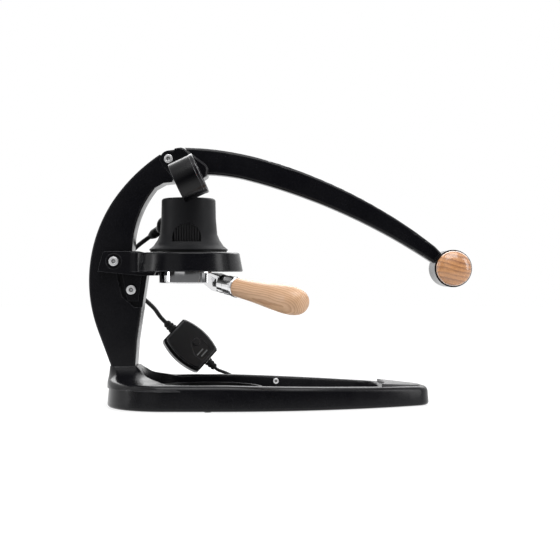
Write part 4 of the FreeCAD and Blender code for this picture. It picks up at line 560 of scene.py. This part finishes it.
@dataclass(frozen=True)
class HandleAxis:
    """Axis of the filter holder's handle: it leaves the neck sideways and droops a little."""

    heading: float = math.radians(-46.0)
    droop: float = math.radians(8.9)
    reach: float = 66.0 * MM
    height: float = 131.6 * MM

    def direction(self) -> Vector:
        """Unit direction from the neck to the handle's tip."""
        return Vector((math.cos(self.droop) * math.cos(self.heading),
                       math.cos(self.droop) * math.sin(self.heading), -math.sin(self.droop)))

    def point(self, length: float = 0.0) -> Vector:
        """A point on the axis, a length past the end of the neck."""
        start = Vector((BREW_X + self.reach * math.cos(self.heading),
                        self.reach * math.sin(self.heading), self.height))
        return start + self.direction() * length

    def lie(self) -> Lie:
        """The axis as a pattern's axis."""
        return Lie(tuple(self.point()), tuple(self.direction()))


HANDLE_AXIS = HandleAxis()


@dataclass(frozen=True)
class GaugeAxis:
    """Axis of the pressure gauge, tilted up towards the person who pulls the lever."""

    centre: Triple = (67.7 * MM, -46.0 * MM, 245.3 * MM)
    tilt: float = math.radians(25.0)

    def outward(self) -> Vector:
        """Unit direction that the dial faces."""
        return Vector((math.cos(self.tilt), 0.0, math.sin(self.tilt)))

    def upward(self) -> Vector:
        """Unit direction towards the top of the dial."""
        return Vector((-math.sin(self.tilt), 0.0, math.cos(self.tilt)))


GAUGE_AXIS = GaugeAxis()


class Palette:
    """Every finish of the object, made once and found by its slot's name."""

    def __init__(self) -> None:
        """Make the materials."""
        recipes = [
            Coating("black_cast", (0.0036, 0.0036, 0.0050), (0.085, 0.085, 0.092), (0.18, 0.28),
                    specular=0.22, edge=0.0008),
            Coating("chamber_dark", grey(0.006), grey(0.03), (0.5, 0.62), specular=0.25),
            Coating("rubber", grey(0.02), grey(0.06), (0.75, 0.9), specular=0.25, grain=900.0),
            Coating("seal", (0.10, 0.03, 0.02), (0.16, 0.06, 0.04), (0.5, 0.65), specular=0.3,
                    grain=1800.0),
            Coating("sleeve", (0.0042, 0.0044, 0.0058), (0.03, 0.03, 0.033), (0.5, 0.62),
                    specular=0.2, grain=2200.0, depth=0.00002, edge=0.0006, wear_and_highlight_share=0.2, sheen=0.07),
            Coating("sleeve_ribs", (0.004, 0.004, 0.005), (0.03, 0.03, 0.033), (0.5, 0.62),
                    specular=0.3, grain=2200.0, depth=0.00002, edge=0.0002, wear_and_highlight_share=0.35),
            Coating("plug_black", (0.008, 0.008, 0.009), grey(0.04), (0.42, 0.55), specular=0.4,
                    grain=1900.0),
            # On the gauge's case and ring the pale edge colour at full share is a painted
            # highlight.
            Coating("gauge_black", (0.0010, 0.0010, 0.0018), (0.3, 0.3, 0.32), (0.22, 0.28),
                    specular=0.28, grain=2400.0, depth=0.000006, wear_and_highlight_share=1.0, speck=0.0),
            Coating("gauge_ring", (0.004, 0.004, 0.0055), (0.45, 0.45, 0.46), (0.15, 0.24),
                    specular=0.4, grain=2400.0, depth=0.000008, wear_and_highlight_share=1.0, speck=0.0),
            Coating("tray_black", (0.006, 0.006, 0.007), (0.16, 0.16, 0.165), (0.26, 0.38),
                    specular=0.5, grain=1700.0, depth=0.00002, wear_and_highlight_share=0.8),
            Coating("plate_black", (0.016, 0.016, 0.018), (0.16, 0.16, 0.165), (0.2, 0.3),
                    specular=0.7, depth=0.00002),
            Coating("box_black", (0.0085, 0.0085, 0.010), (0.10, 0.10, 0.11), (0.3, 0.42),
                    specular=0.5, grain=1800.0, edge=0.0006, wear_and_highlight_share=0.8),
            Coating("boot", grey(0.012), grey(0.04), (0.6, 0.75), specular=0.3),
            Coating("lead", (0.012, 0.012, 0.0125), grey(0.03), (0.5, 0.62), grain=2600.0,
                    depth=0.00002, edge=0.0002, wear_and_highlight_share=0.1),
            # The screws' sockets are darkened with painted shade.
            TurnedMetal("steel_screw", (0.93, 0.93, 0.94), FRAME_DEPTH, (0.40, 0.5),
                        edge=0.0005, painted_shade_reach=2.5 * MM),
            TurnedMetal("steel_bright", (0.72, 0.72, 0.73), BREW_AXIS, (0.10, 0.18)),
            TurnedMetal("heater", grey(0.55), BREW_AXIS, (0.3, 0.4)),
            TurnedMetal("chrome", (0.80, 0.80, 0.81), HANDLE_AXIS.lie(), (0.04, 0.09),
                        depth=0.000002),
            TurnedMetal("bronze", (0.60, 0.40, 0.17), FRAME_DEPTH, (0.25, 0.35)),
            TurnedWood("handle_wood", (0.78, 0.50, 0.30), (0.50, 0.255, 0.13), HANDLE_AXIS.lie(),
                       rings=140.0, pores=0.25, gloss=0.4, coat=0.25, coat_gloss=0.2, figure=0.42,
                       cloud=0.4),
            TurnedWood("grip_wood", (0.74, 0.36, 0.15), (0.19, 0.072, 0.042),
                       Lie(GRIP_CENTRE, (0.94, 0.25, -0.22)), rings=62.0, pores=0.08, gloss=0.36,
                       coat=1.0, coat_gloss=0.12, figure=0.30, cloud=0.75, depth=0.0,
                       streaks=0.08),
            ClearGlass("lens"),
            Lacquer("dial", (0.86, 0.86, 0.84), 0.5),
            Lacquer("needle", (0.60, 0.05, 0.04), 0.35),
            Lacquer("light_bar", (0.26, 0.27, 0.27), 0.3, 0.05),
            Lacquer("dial_print", (0.012, 0.012, 0.013), 0.5),
            Lacquer("dial_zone", (0.42, 0.20, 0.08), 0.5),
            BoardLacquer("board"),
        ]
        self.made = {recipe.name: recipe.build() for recipe in recipes}

    def __getitem__(self, name: str) -> Material:
        """The material of that name."""
        return self.made[name]


def smooth_all(mesh: bpy.types.Mesh) -> None:
    """Shade every face of a mesh smoothly."""
    mesh.polygons.foreach_set("use_smooth", np.ones(len(mesh.polygons), dtype=bool))
    mesh.update()


def grid_faces(rows: int, columns: int, closed: bool) -> Array:
    """Quads of a grid of points: each joins a point, its neighbour and the two in the next row.

    Args:
        rows: points along the grid.
        columns: points across it.
        closed: whether the last column joins the first.

    Returns:
        An array of four point numbers per face.
    """
    row, column = np.meshgrid(np.arange(rows - 1), np.arange(columns if closed else columns - 1),
                              indexing="ij")
    after = (column + 1) % columns
    corners = (row * columns + column, row * columns + after,
               (row + 1) * columns + after, (row + 1) * columns + column)
    return np.stack(corners, axis=-1).reshape(-1, 4)


def make_mesh(name: str, points: Array, faces: list) -> Piece:
    """Put points and faces into a new object at the origin.

    Args:
        name: the piece's name.
        points: one row of x, y and z per point.
        faces: point numbers of each face.

    Returns:
        The new object, smoothly shaded.
    """
    mesh = bpy.data.meshes.new(name)
    mesh.from_pydata(points.tolist(), [], faces)
    mesh.validate()
    smooth_all(mesh)
    return link_new(name, mesh)


def across(axis: Vector) -> tuple[Array, Array, Array]:
    """Three unit arrays: two square to an axis, which turn from the first to the second, and it."""
    side = axis.orthogonal().normalized()
    return np.array(side), np.array(axis.cross(side)), np.array(axis)


def smooth_profile(stations: Array, count: int) -> Array:
    """A smooth line through a few stations.

    The line is a cubic between each pair of stations, whose slope at a station is that of the
    chord between its neighbours (a Catmull-Rom line), with even steps of chord length.

    Args:
        stations: rows of radius and height.
        count: points wanted.

    Returns:
        Rows of radius and height along the line.
    """
    padded = np.vstack([2 * stations[0] - stations[1], stations, 2 * stations[-1] - stations[-2]])
    lengths = np.concatenate([[0.0], np.cumsum(np.linalg.norm(np.diff(stations, axis=0), axis=1))])
    place = np.linspace(0.0, lengths[-1], count)
    span = np.clip(np.searchsorted(lengths, place, side="right") - 1, 0, len(stations) - 2)
    share = ((place - lengths[span]) / (lengths[span + 1] - lengths[span]))[:, None]
    before, first, last, after = (padded[span + step] for step in range(4))
    return 0.5 * (2 * first + (last - before) * share
                  + (2 * before - 5 * first + 4 * last - after) * share ** 2
                  + (3 * first - before - 3 * last + after) * share ** 3)


def turned_surface(name: str, profile: Array, origin: Vector, axis: Vector,
                   segments: int) -> Piece:
    """A closed surface of revolution.

    A point at profile step s and angle a is origin + height(s) along the axis + radius(s) times
    (cos a, sin a) square to it. Each end closes on one point on the axis.

    Args:
        name: the piece's name.
        profile: rows of radius and height, in order along the axis.
        origin: where height is zero on the axis.
        axis: unit direction of rising height.
        segments: points round the axis.

    Returns:
        The new object.
    """
    first, second, along = across(axis)
    angle = np.linspace(0.0, 2 * np.pi, segments, endpoint=False)
    ring = np.cos(angle)[:, None] * first + np.sin(angle)[:, None] * second
    centre = np.array(origin)
    walls = (centre + profile[:, 1, None, None] * along + profile[:, 0, None, None] * ring)
    poles = centre + profile[[0, -1], 1][:, None] * along
    points = np.vstack([walls.reshape(-1, 3), poles])
    faces = grid_faces(len(profile), segments, True).tolist()
    step = np.arange(segments)
    after = (step + 1) % segments
    start, end = len(points) - 2, len(points) - 1
    low = np.stack([after, step, np.full(segments, start)], axis=1)
    top = (len(profile) - 1) * segments
    high = np.stack([top + step, top + after, np.full(segments, end)], axis=1)
    return make_mesh(name, points, faces + low.tolist() + high.tolist())


def finish_piece(piece: Piece, material: Material, body: Body) -> None:
    """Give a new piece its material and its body.

    Args:
        piece: the new object.
        material: its finish.
        body: the body it rides on.
    """
    piece.data.materials.clear()
    piece.data.materials.append(material)
    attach(piece, body.value)
    LOG.info("piece %s rides on %s", piece.name, body.value)


@dataclass
class SolidDresser:
    """Gives the kept solids their finish, smooth curves and crisp edges."""

    palette: Palette
    merge: float = 0.00001
    crease: float = math.radians(28.0)

    def dress(self, name: str, slot: str) -> None:
        """Dress one solid in a material.

        Args:
            name: the solid's name.
            slot: the record's slot, which names the material.
        """
        piece = frame["nodes"][name]
        piece.data.materials.clear()
        piece.data.materials.append(self.palette[slot])
        if "custom_normal" in piece.data.attributes:
            piece.data.attributes.remove(piece.data.attributes["custom_normal"])
        smooth_all(piece.data)
        weld = piece.modifiers.new("weld", "WELD")
        weld.merge_threshold = self.merge
        split = piece.modifiers.new("creases", "EDGE_SPLIT")
        split.split_angle = self.crease
        LOG.info("dressed %s in %s", name, slot)

    def dress_all(self) -> None:
        """Dress every solid in the material of its record slot."""
        slots = {part["node"]: part["material_slot"] for part in frame["record"]["subparts"]}
        for name in sorted(frame["nodes"]):
            self.dress(name, slots[name])


@dataclass
class Cords:
    """The heater's lead and the thin supply lead with its put-away coil."""

    palette: Palette
    lead_diameter: float = 5.0 * MM
    supply_diameter: float = 3.8 * MM
    lead_length: float = 142.6 * MM
    supply_length: float = 1169.6 * MM
    box_centre: Triple = (61.0, 77.0, 60.9)
    box_slant: float = math.radians(42.5)
    box_end: float = 39.0
    lead_exit: Triple = (19.7, 24.0, 185.6)
    lead_heading: Triple = (-0.78, 0.378, -0.496)
    lead_run: float = 13.0
    lead_middle: tuple[Triple, ...] = (
        (-3, 35.5, 169), (-12, 39, 155), (-14.5, 42, 139.5), (-7.5, 47, 128), (2.5, 53, 121))
    upper_boot_runs: Pair = (19.0, 9.0)
    upper_boot_sag: Triple = (2.0, -9.0, 4.2)
    lower_boot_run: float = 3.6
    over_rim: tuple[Triple, ...] = (
        (97.5, 80.2, 30.2), (104, 84.9, 27.2), (110.4, 90.2, 23.2), (116.8, 96.2, 19),
        (123.2, 102.6, 15.6), (131, 110.8, 13.9))
    coil_run: float = 6.7
    tail_run: float = 6.0
    tail_middle: Triple = (14.0, -3.6, 0.8)
    tail_ends: tuple[Pair, ...] = ((22.5, -7.0), (29.0, -7.0))
    plug_height: float = 4.6
    coil_centre: Pair = (150.0, 140.4)
    coil_outer: float = 25.4
    coil_pitch: float = 4.4
    coil_floor: float = 2.0
    coil_rise: float = 4.35
    turns_per_layer: float = 2.0
    layers: int = 4
    points_per_turn: int = 16
    reversal: float = 0.25
    heading_step: float = 0.002

    def _ahead(self) -> Array:
        """Unit direction along the controller, from its upper end to its lower one."""
        return np.array([math.cos(self.box_slant), 0.0, -math.sin(self.box_slant)])

    def _coil(self, turns: Array) -> Array:
        """Points on the coil, counted in turns from its top outer start.

        The radius falls by a pitch per turn in one layer and rises again in the next. Within
        `reversal` turns of each layer's end it is eased, and there the height drops by a rise.

        Args:
            turns: places along the coil.

        Returns:
            One row of x, y and z per place, in millimetres.
        """
        total = self.turns_per_layer * self.layers
        layer = np.minimum((turns / self.turns_per_layer).astype(int), self.layers - 1)
        within = turns - layer * self.turns_per_layer
        share = np.where(layer % 2 == 0, within, self.turns_per_layer - within)
        blend = self.reversal
        inside = (turns > self.turns_per_layer / 2) & (turns < total - self.turns_per_layer / 2)
        for end, sign in ((0.0, 1.0), (self.turns_per_layer, -1.0)):
            away = np.abs(share - end)
            smooth = end + sign * (away ** 2 / blend + blend) / 2
            share = np.where(inside & (away < blend), smooth, share)
        radius = self.coil_outer - self.coil_pitch * share
        nearest = np.round(turns / self.turns_per_layer)
        step = np.clip((turns - nearest * self.turns_per_layer) / blend, -1.0, 1.0)
        eased = nearest - 0.5 + step * (3 - step ** 2) / 4
        climb = np.where((nearest > 0) & (nearest < self.layers), eased, layer)
        height = self.coil_floor + self.coil_rise * (self.layers - 1 - climb)
        angle = 2 * np.pi * turns - np.pi / 2
        return np.stack([self.coil_centre[0] + radius * np.cos(angle),
                         self.coil_centre[1] + radius * np.sin(angle), height], axis=1)

    def _heading(self, turns: float) -> Array:
        """Unit heading of the coil at a place along it."""
        step = self.heading_step
        first, last = self._coil(np.array([turns - step, turns + step]))
        return (last - first) / np.linalg.norm(last - first)

    def _lead_route(self) -> Array:
        """Route of the heater's lead, from its plug to the controller, in millimetres."""
        end = np.array(self.box_centre) - self._ahead() * self.box_end
        start = np.array(self.lead_exit)
        out = np.array(self.lead_heading)
        far, near = (end - self._ahead() * run for run in self.upper_boot_runs)
        return np.vstack([start, start + out / np.linalg.norm(out) * self.lead_run,
                          *self.lead_middle, far + np.array(self.upper_boot_sag), near, end])

    def _supply_route(self) -> Array:
        """Route of the supply lead over the far rim, round its coil and out to its plug."""
        start = np.array(self.box_centre) + self._ahead() * self.box_end
        thick = self.supply_diameter / MM
        total = self.turns_per_layer * self.layers
        turns = np.linspace(0.0, total, int(total * self.points_per_turn) + 1)
        coil = self._coil(turns)
        lead_in = coil[0] - self._heading(0.0) * thick
        lead_out = coil[-1] + self._heading(total) * thick
        rise = self.plug_height - lead_out[2]
        ends = [lead_out + (*place, rise) for place in self.tail_ends]
        return np.vstack([start, start + self._ahead() * self.lower_boot_run, *self.over_rim,
                          lead_in - self._heading(0.0) * self.coil_run, lead_in, coil, lead_out,
                          lead_out + self._heading(total) * self.tail_run,
                          lead_out + self.tail_middle, *ends])

    def _cord(self, name: str, route: Array, diameter: float,
              *stands_for: str) -> Piece:
        """A round cord on one smooth open spline.

        Args:
            name: the piece's name.
            route: control points in millimetres.
            diameter: the cord's diameter in metres.
            stands_for: the solids that it replaces.

        Returns:
            The new curve object.
        """
        curve = bpy.data.curves.new(name, "CURVE")
        curve.dimensions = "3D"
        curve.bevel_depth = diameter / 2
        curve.bevel_resolution = 4
        curve.use_fill_caps = True
        curve.resolution_u = 4
        spline = curve.splines.new("NURBS")
        spline.points.add(len(route) - 1)
        weighted = np.hstack([route * MM, np.ones((len(route), 1))])
        spline.points.foreach_set("co", weighted.ravel())
        spline.order_u = 3
        spline.use_endpoint_u = True
        piece = link_new(name, curve)
        finish_piece(piece, self.palette["lead"], Body.FRAME)
        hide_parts(*stands_for)
        return piece

    def build(self) -> None:
        """Lay both cords, each in place of its solids."""
        lead = self._cord("heater_cord", self._lead_route(), self.lead_diameter, "heater_lead")
        supply = self._cord("supply_cord", self._supply_route(), self.supply_diameter,
                            "supply_lead", "supply_coil", "supply_tail")


@dataclass
class WoodenParts:
    """The filter holder's turned handle and the two grip ends of the lever."""

    palette: Palette
    handle_start: float = 15.1 * MM
    handle_stations: tuple[Pair, ...] = (
        (9.9, 0.0), (10.15, 3.0), (10.4, 10.0), (11.0, 22.0), (12.1, 38.0), (13.5, 54.0),
        (14.4, 68.0), (14.6, 77.0), (14.1, 86.0), (12.2, 93.4), (8.8, 97.9), (4.4, 99.5))
    grip_start: float = 26.3 * MM
    grip_stations: tuple[Pair, ...] = (
        (17.6, 0.0), (18.5, 0.5), (18.8, 1.5), (18.8, 4.0), (18.6, 6.2), (17.6, 8.2),
        (15.6, 10.1), (12.6, 12.1), (9.0, 13.6), (5.0, 14.6), (1.8, 14.95))
    handle_rings: int = 140
    grip_rings: int = 60
    segments: int = 112

    def _handle(self) -> None:
        """The pear-shaped handle."""
        profile = smooth_profile(np.array(self.handle_stations) * MM, self.handle_rings)
        piece = turned_surface("handle_turned", profile, HANDLE_AXIS.point(self.handle_start),
                               HANDLE_AXIS.direction(), self.segments)
        finish_piece(piece, self.palette["handle_wood"], Body.PORTAFILTER)
        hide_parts("portafilter_handle")

    def _grip(self, name: str, node: str, side: Vector) -> None:
        """One grip end.

        Args:
            name: the piece's name.
            node: the solid it stands for.
            side: unit direction away from the barrel.
        """
        profile = smooth_profile(np.array(self.grip_stations) * MM, self.grip_rings)
        origin = Vector(GRIP_CENTRE) + side * self.grip_start
        piece = turned_surface(name, profile, origin, side, self.segments)
        finish_piece(piece, self.palette["grip_wood"], Body.LEVER)
        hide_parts(node)

    def build(self) -> None:
        """Make the handle and both grips."""
        self._handle()
        self._grip("grip_turned_near", "grip_near", -Y_AXIS)
        self._grip("grip_turned_far", "grip_far", Y_AXIS)


@dataclass
class GaugePrint:
    """Ticks, working zone and plain numbers on the gauge's dial."""

    palette: Palette
    face: float = 6.2 * MM
    lift: float = 0.06 * MM
    sweep: float = math.radians(270.0)
    start: float = math.radians(225.0)
    outer: float = 18.4 * MM
    divisions: int = 32
    numbers: tuple[str, ...] = ("0", "4", "8", "12", "16")
    zone: Pair = (8.0 / 16.0, 10.0 / 16.0)
    zone_reach: Pair = (0.3 * MM, 1.4 * MM)
    zone_steps: int = 24
    tick_steps: int = 2
    tick_halves: Pair = (0.016, 0.008)
    tick_lengths: Pair = (3.0 * MM, 1.7 * MM)
    number_size: float = 3.6 * MM
    number_inset: float = 5.6 * MM

    def _matrix(self) -> Matrix:
        """Turn and shift from the dial's own plane, x right and y up, to its place."""
        outward, upward = GAUGE_AXIS.outward(), GAUGE_AXIS.upward()
        right = upward.cross(outward)
        turn = Matrix((right, upward, outward)).transposed().to_4x4()
        origin = Vector(GAUGE_AXIS.centre) + outward * (self.face + self.lift)
        return Matrix.Translation(origin) @ turn

    def _band(self, name: str, spans: Array, inner: Array, outer: Array,
              steps: int) -> Piece:
        """Flat ring sectors with a little thickness.

        A point at angle a and radius r is (r cos a, r sin a) in the dial's plane. Each sector is a
        strip of quads between its two angles, closed all round.

        Args:
            name: the piece's name.
            spans: rows of start and end angle.
            inner: inner radius of each sector.
            outer: outer radius of each sector.
            steps: quads along each sector.

        Returns:
            The new object in its place.
        """
        share = np.linspace(0.0, 1.0, steps + 1)
        angles = spans[:, :1] + (spans[:, 1:] - spans[:, :1]) * share
        radii = np.stack([inner, outer, outer, inner], axis=1)[:, None, :]
        heights = np.array([0.0, 0.0, 1.0, 1.0]) * self.lift
        flat = np.stack([np.cos(angles)[..., None] * radii, np.sin(angles)[..., None] * radii,
                         np.broadcast_to(heights, (*angles.shape, 4))], axis=-1)
        quads = grid_faces(steps + 1, 4, True)
        ends = np.array([[3, 2, 1, 0], np.arange(4) + steps * 4])
        one = np.vstack([quads, ends])
        shift = np.arange(len(spans))[:, None, None] * (steps + 1) * 4
        piece = make_mesh(name, flat.reshape(-1, 3), (one[None] + shift).reshape(-1, 4).tolist())
        piece.data.transform(self._matrix())
        return piece

    def _ticks(self) -> None:
        """One tick per division, with a longer one at each number."""
        share = np.arange(self.divisions + 1) / self.divisions
        angle = self.start - self.sweep * share
        major = np.arange(self.divisions + 1) % (self.divisions // (len(self.numbers) - 1)) == 0
        half = np.where(major, *self.tick_halves)
        spans = np.stack([angle - half, angle + half], axis=1)
        inner = self.outer - np.where(major, *self.tick_lengths)
        piece = self._band("dial_ticks", spans, inner, np.full(len(angle), self.outer),
                           self.tick_steps)
        finish_piece(piece, self.palette["dial_print"], Body.GAUGE)

    def _zone(self) -> None:
        """The coloured band over the working pressure."""
        ends = self.start - self.sweep * np.array(self.zone)
        spans = ends[::-1][None, :]
        radii = (np.array([self.outer + reach]) for reach in self.zone_reach)
        piece = self._band("dial_zone", spans, *radii, self.zone_steps)
        finish_piece(piece, self.palette["dial_zone"], Body.GAUGE)

    def _number(self, text: str, share: float) -> None:
        """One number, upright on the dial.

        Args:
            text: the number.
            share: its place along the scale, from 0 to 1.
        """
        words = bpy.data.curves.new("dial_number", "FONT")
        words.body = text
        words.size = self.number_size
        words.extrude = self.lift / 2
        words.align_x = "CENTER"
        words.align_y = "CENTER"
        holder = link_new("dial_number", words)
        graph = bpy.context.evaluated_depsgraph_get()
        mesh = bpy.data.meshes.new_from_object(holder.evaluated_get(graph))
        bpy.data.objects.remove(holder)
        angle = self.start - self.sweep * share
        reach = self.outer - self.number_inset
        shift = Matrix.Translation((reach * math.cos(angle), reach * math.sin(angle), 0.0))
        mesh.transform(self._matrix() @ shift)
        piece = link_new("dial_number_" + text, mesh)
        finish_piece(piece, self.palette["dial_print"], Body.GAUGE)

    def build(self) -> None:
        """Print the dial."""
        self._ticks()
        self._zone()
        for index, text in enumerate(self.numbers):
            self._number(text, index / (len(self.numbers) - 1))


@dataclass(frozen=True)
class Softbox:
    """A rectangular soft lamp: where it hangs, the point it faces, its sides and its watts."""

    name: str
    place: Triple
    aim: Triple
    size: Pair
    power: float

    def hang(self) -> None:
        """Put the lamp in the scene."""
        data = bpy.data.lights.new(self.name, "AREA")
        data.shape = "RECTANGLE"
        data.size, data.size_y = self.size
        data.energy = self.power
        lamp = link_new(self.name, data)
        lamp.location = self.place
        facing = Vector(self.aim) - Vector(self.place)
        lamp.rotation_euler = facing.to_track_quat("-Z", "Y").to_euler()


@dataclass
class Studio:
    """Camera, white surround, pale floor and soft lamps."""

    camera_place: Triple = (0.165, -1.350, 0.1425)
    lens: float = 78.879
    sensor: float = 36.0
    shift_down: float = 5.0 / 560.0
    floor_half: float = 4.0
    floor_lines: int = 9
    floor_shade: Colour = grey(0.26)
    floor_bounce: Colour = grey(0.6)
    floor_direct: tuple[float, ...] = (0.35, 1.0, 0.80, 1.0)
    floor_mirrored: tuple[float, ...] = (-0.8, -0.15, 0.04, 0.85)
    sky: tuple[float, ...] = (0.35, 0.85, 0.0, 0.9)
    world_light: Colour = (0.97, 0.98, 1.0)
    world_strength: float = 0.40
    surround: tuple[Pair, ...] = (
        (-180.0, 1.0), (-112.0, 1.0), (-78.0, 0.95), (-73.0, 0.01), (-52.0, 0.01), (-47.0, 0.62),
        (-15.0, 0.5), (-8.0, 0.03), (46.0, 0.03), (56.0, 0.15), (74.0, 0.3), (100.0, 1.0),
        (179.9, 1.0))
    lamps: tuple[Softbox, ...] = (
        Softbox("overhead", (0.20, -0.42, 1.15), (0.17, 0.0, 0.1), (1.0, 0.8), 10.0),
        Softbox("side_right", (1.30, -0.35, 0.50), (0.15, 0.0, 0.12), (0.35, 0.9), 4.0),
        Softbox("side_left", (-1.10, -0.25, 0.45), (0.1, 0.0, 0.12), (0.16, 0.8), 2.0),
        Softbox("behind", (0.22, 0.75, 0.70), (0.17, 0.0, 0.08), (1.6, 0.6), 9.0))

    def camera(self) -> None:
        """Level camera at the photograph's distance and height."""
        data = bpy.data.cameras.new("camera")
        data.lens = self.lens
        data.sensor_width = self.sensor
        data.shift_y = -self.shift_down
        made = link_new("camera", data)
        made.location = self.camera_place
        made.rotation_euler = (math.pi / 2, 0.0, 0.0)
        bpy.context.scene.camera = made

    @staticmethod
    def _seen(graph: Graph) -> tuple[Socket, Socket]:
        """Whether a ray is the camera's, and whether it is that or one from metal or glass."""
        path = graph.add("LightPath")
        mirror = graph.math("MAXIMUM", path.outputs["Is Glossy Ray"],
                            path.outputs["Is Transmission Ray"])
        camera = path.outputs["Is Camera Ray"]
        return camera, graph.math("MAXIMUM", camera, mirror)

    def _fill_ramp(self, ramp: bpy.types.ColorRamp) -> None:
        """Set the brightness of the surround by its bearing round the object.

        Args:
            ramp: the ramp to fill.
        """
        while len(ramp.elements) > 1:
            ramp.elements.remove(ramp.elements[-1])
        for index, (bearing, level) in enumerate(self.surround):
            place = bearing / 360.0 + 0.5
            element = ramp.elements[0] if index == 0 else ramp.elements.new(place)
            element.position = place
            element.color = (level, level, level, 1.0)

    def world(self) -> None:
        """White surround that metal and glass show too, dimmer on the photographer's side."""
        world = bpy.data.worlds.new("surround")
        bpy.context.scene.world = world
        world.use_nodes = True
        graph = Graph(world.node_tree)
        camera, seen = self._seen(graph)
        direction = graph.add("TexCoord").outputs["Generated"]
        parts = graph.add("SeparateXYZ", {0: direction}).outputs
        turn = graph.math("ARCTAN2", parts["X"], graph.math("MULTIPLY", parts["Y"], -1.0))
        bearing = graph.math("ADD", graph.math("DIVIDE", turn, 2 * math.pi), 0.5)
        flags = graph.add("ValToRGB", {"Fac": bearing})
        self._fill_ramp(flags.color_ramp)
        above = graph.spread(parts["Z"], *self.sky)
        grade = graph.math("MAXIMUM", flags.outputs[0], above)
        shown = graph.mix(camera, graph.mix(grade, grey(0.0), grey(1.0)), grey(1.0))
        backdrop = graph.add("Background", {"Color": shown, "Strength": 1.0})
        light = graph.add("Background", {"Color": self.world_light,
                                         "Strength": self.world_strength})
        mixed = graph.add("MixShader", {0: seen, 1: light.outputs[0], 2: backdrop.outputs[0]})
        graph.add("OutputWorld", {"Surface": mixed.outputs[0]})

    def floor(self) -> None:
        """Pale floor that stays white to the camera and keeps a faint shadow."""
        half = self.floor_half
        line = np.linspace(-half, half, self.floor_lines)
        across_x, across_y = np.meshgrid(line, line, indexing="ij")
        points = np.stack([across_x, across_y, np.zeros_like(across_x)], axis=-1).reshape(-1, 3)
        faces = grid_faces(self.floor_lines, self.floor_lines, False)[:, ::-1]
        piece = make_mesh("floor", points, faces.tolist())
        material = bpy.data.materials.new("floor_white")
        material.use_nodes = True
        graph = Graph(material.node_tree)
        place = graph.add("TexCoord").outputs["Object"]
        away = graph.add("VectorMath", {0: place}, operation="LENGTH").outputs["Value"]
        camera, seen = self._seen(graph)
        depth = graph.add("SeparateXYZ", {0: place}).outputs["Y"]
        level = graph.total((camera, graph.spread(away, *self.floor_direct)),
                            (graph.math("SUBTRACT", 1.0, camera),
                             graph.spread(depth, *self.floor_mirrored)))
        shade = graph.add("BsdfDiffuse", {"Color": self.floor_shade})
        glow = graph.add("Emission", {"Color": grey(1.0), "Strength": level})
        both = graph.add("AddShader", {0: shade.outputs[0], 1: glow.outputs[0]})
        plain = graph.add("BsdfDiffuse", {"Color": self.floor_bounce})
        mixed = graph.add("MixShader", {0: seen, 1: plain.outputs[0], 2: both.outputs[0]})
        graph.add("OutputMaterial", {"Surface": mixed.outputs[0]})
        piece.data.materials.append(material)

    def build(self) -> None:
        """Set the studio up."""
        bpy.context.scene.view_settings.view_transform = "Standard"
        self.camera()
        self.world()
        self.floor()
        for lamp in self.lamps:
            lamp.hang()


def main() -> None:
    """Build the studio and every sub-assembly in order."""
    logging.basicConfig(level=logging.INFO, format="%(message)s")
    palette = Palette()
    Studio().build()
    SolidDresser(palette).dress_all()
    Cords(palette).build()
    WoodenParts(palette).build()
    GaugePrint(palette).build()


if __name__ == "__main__":
    main()
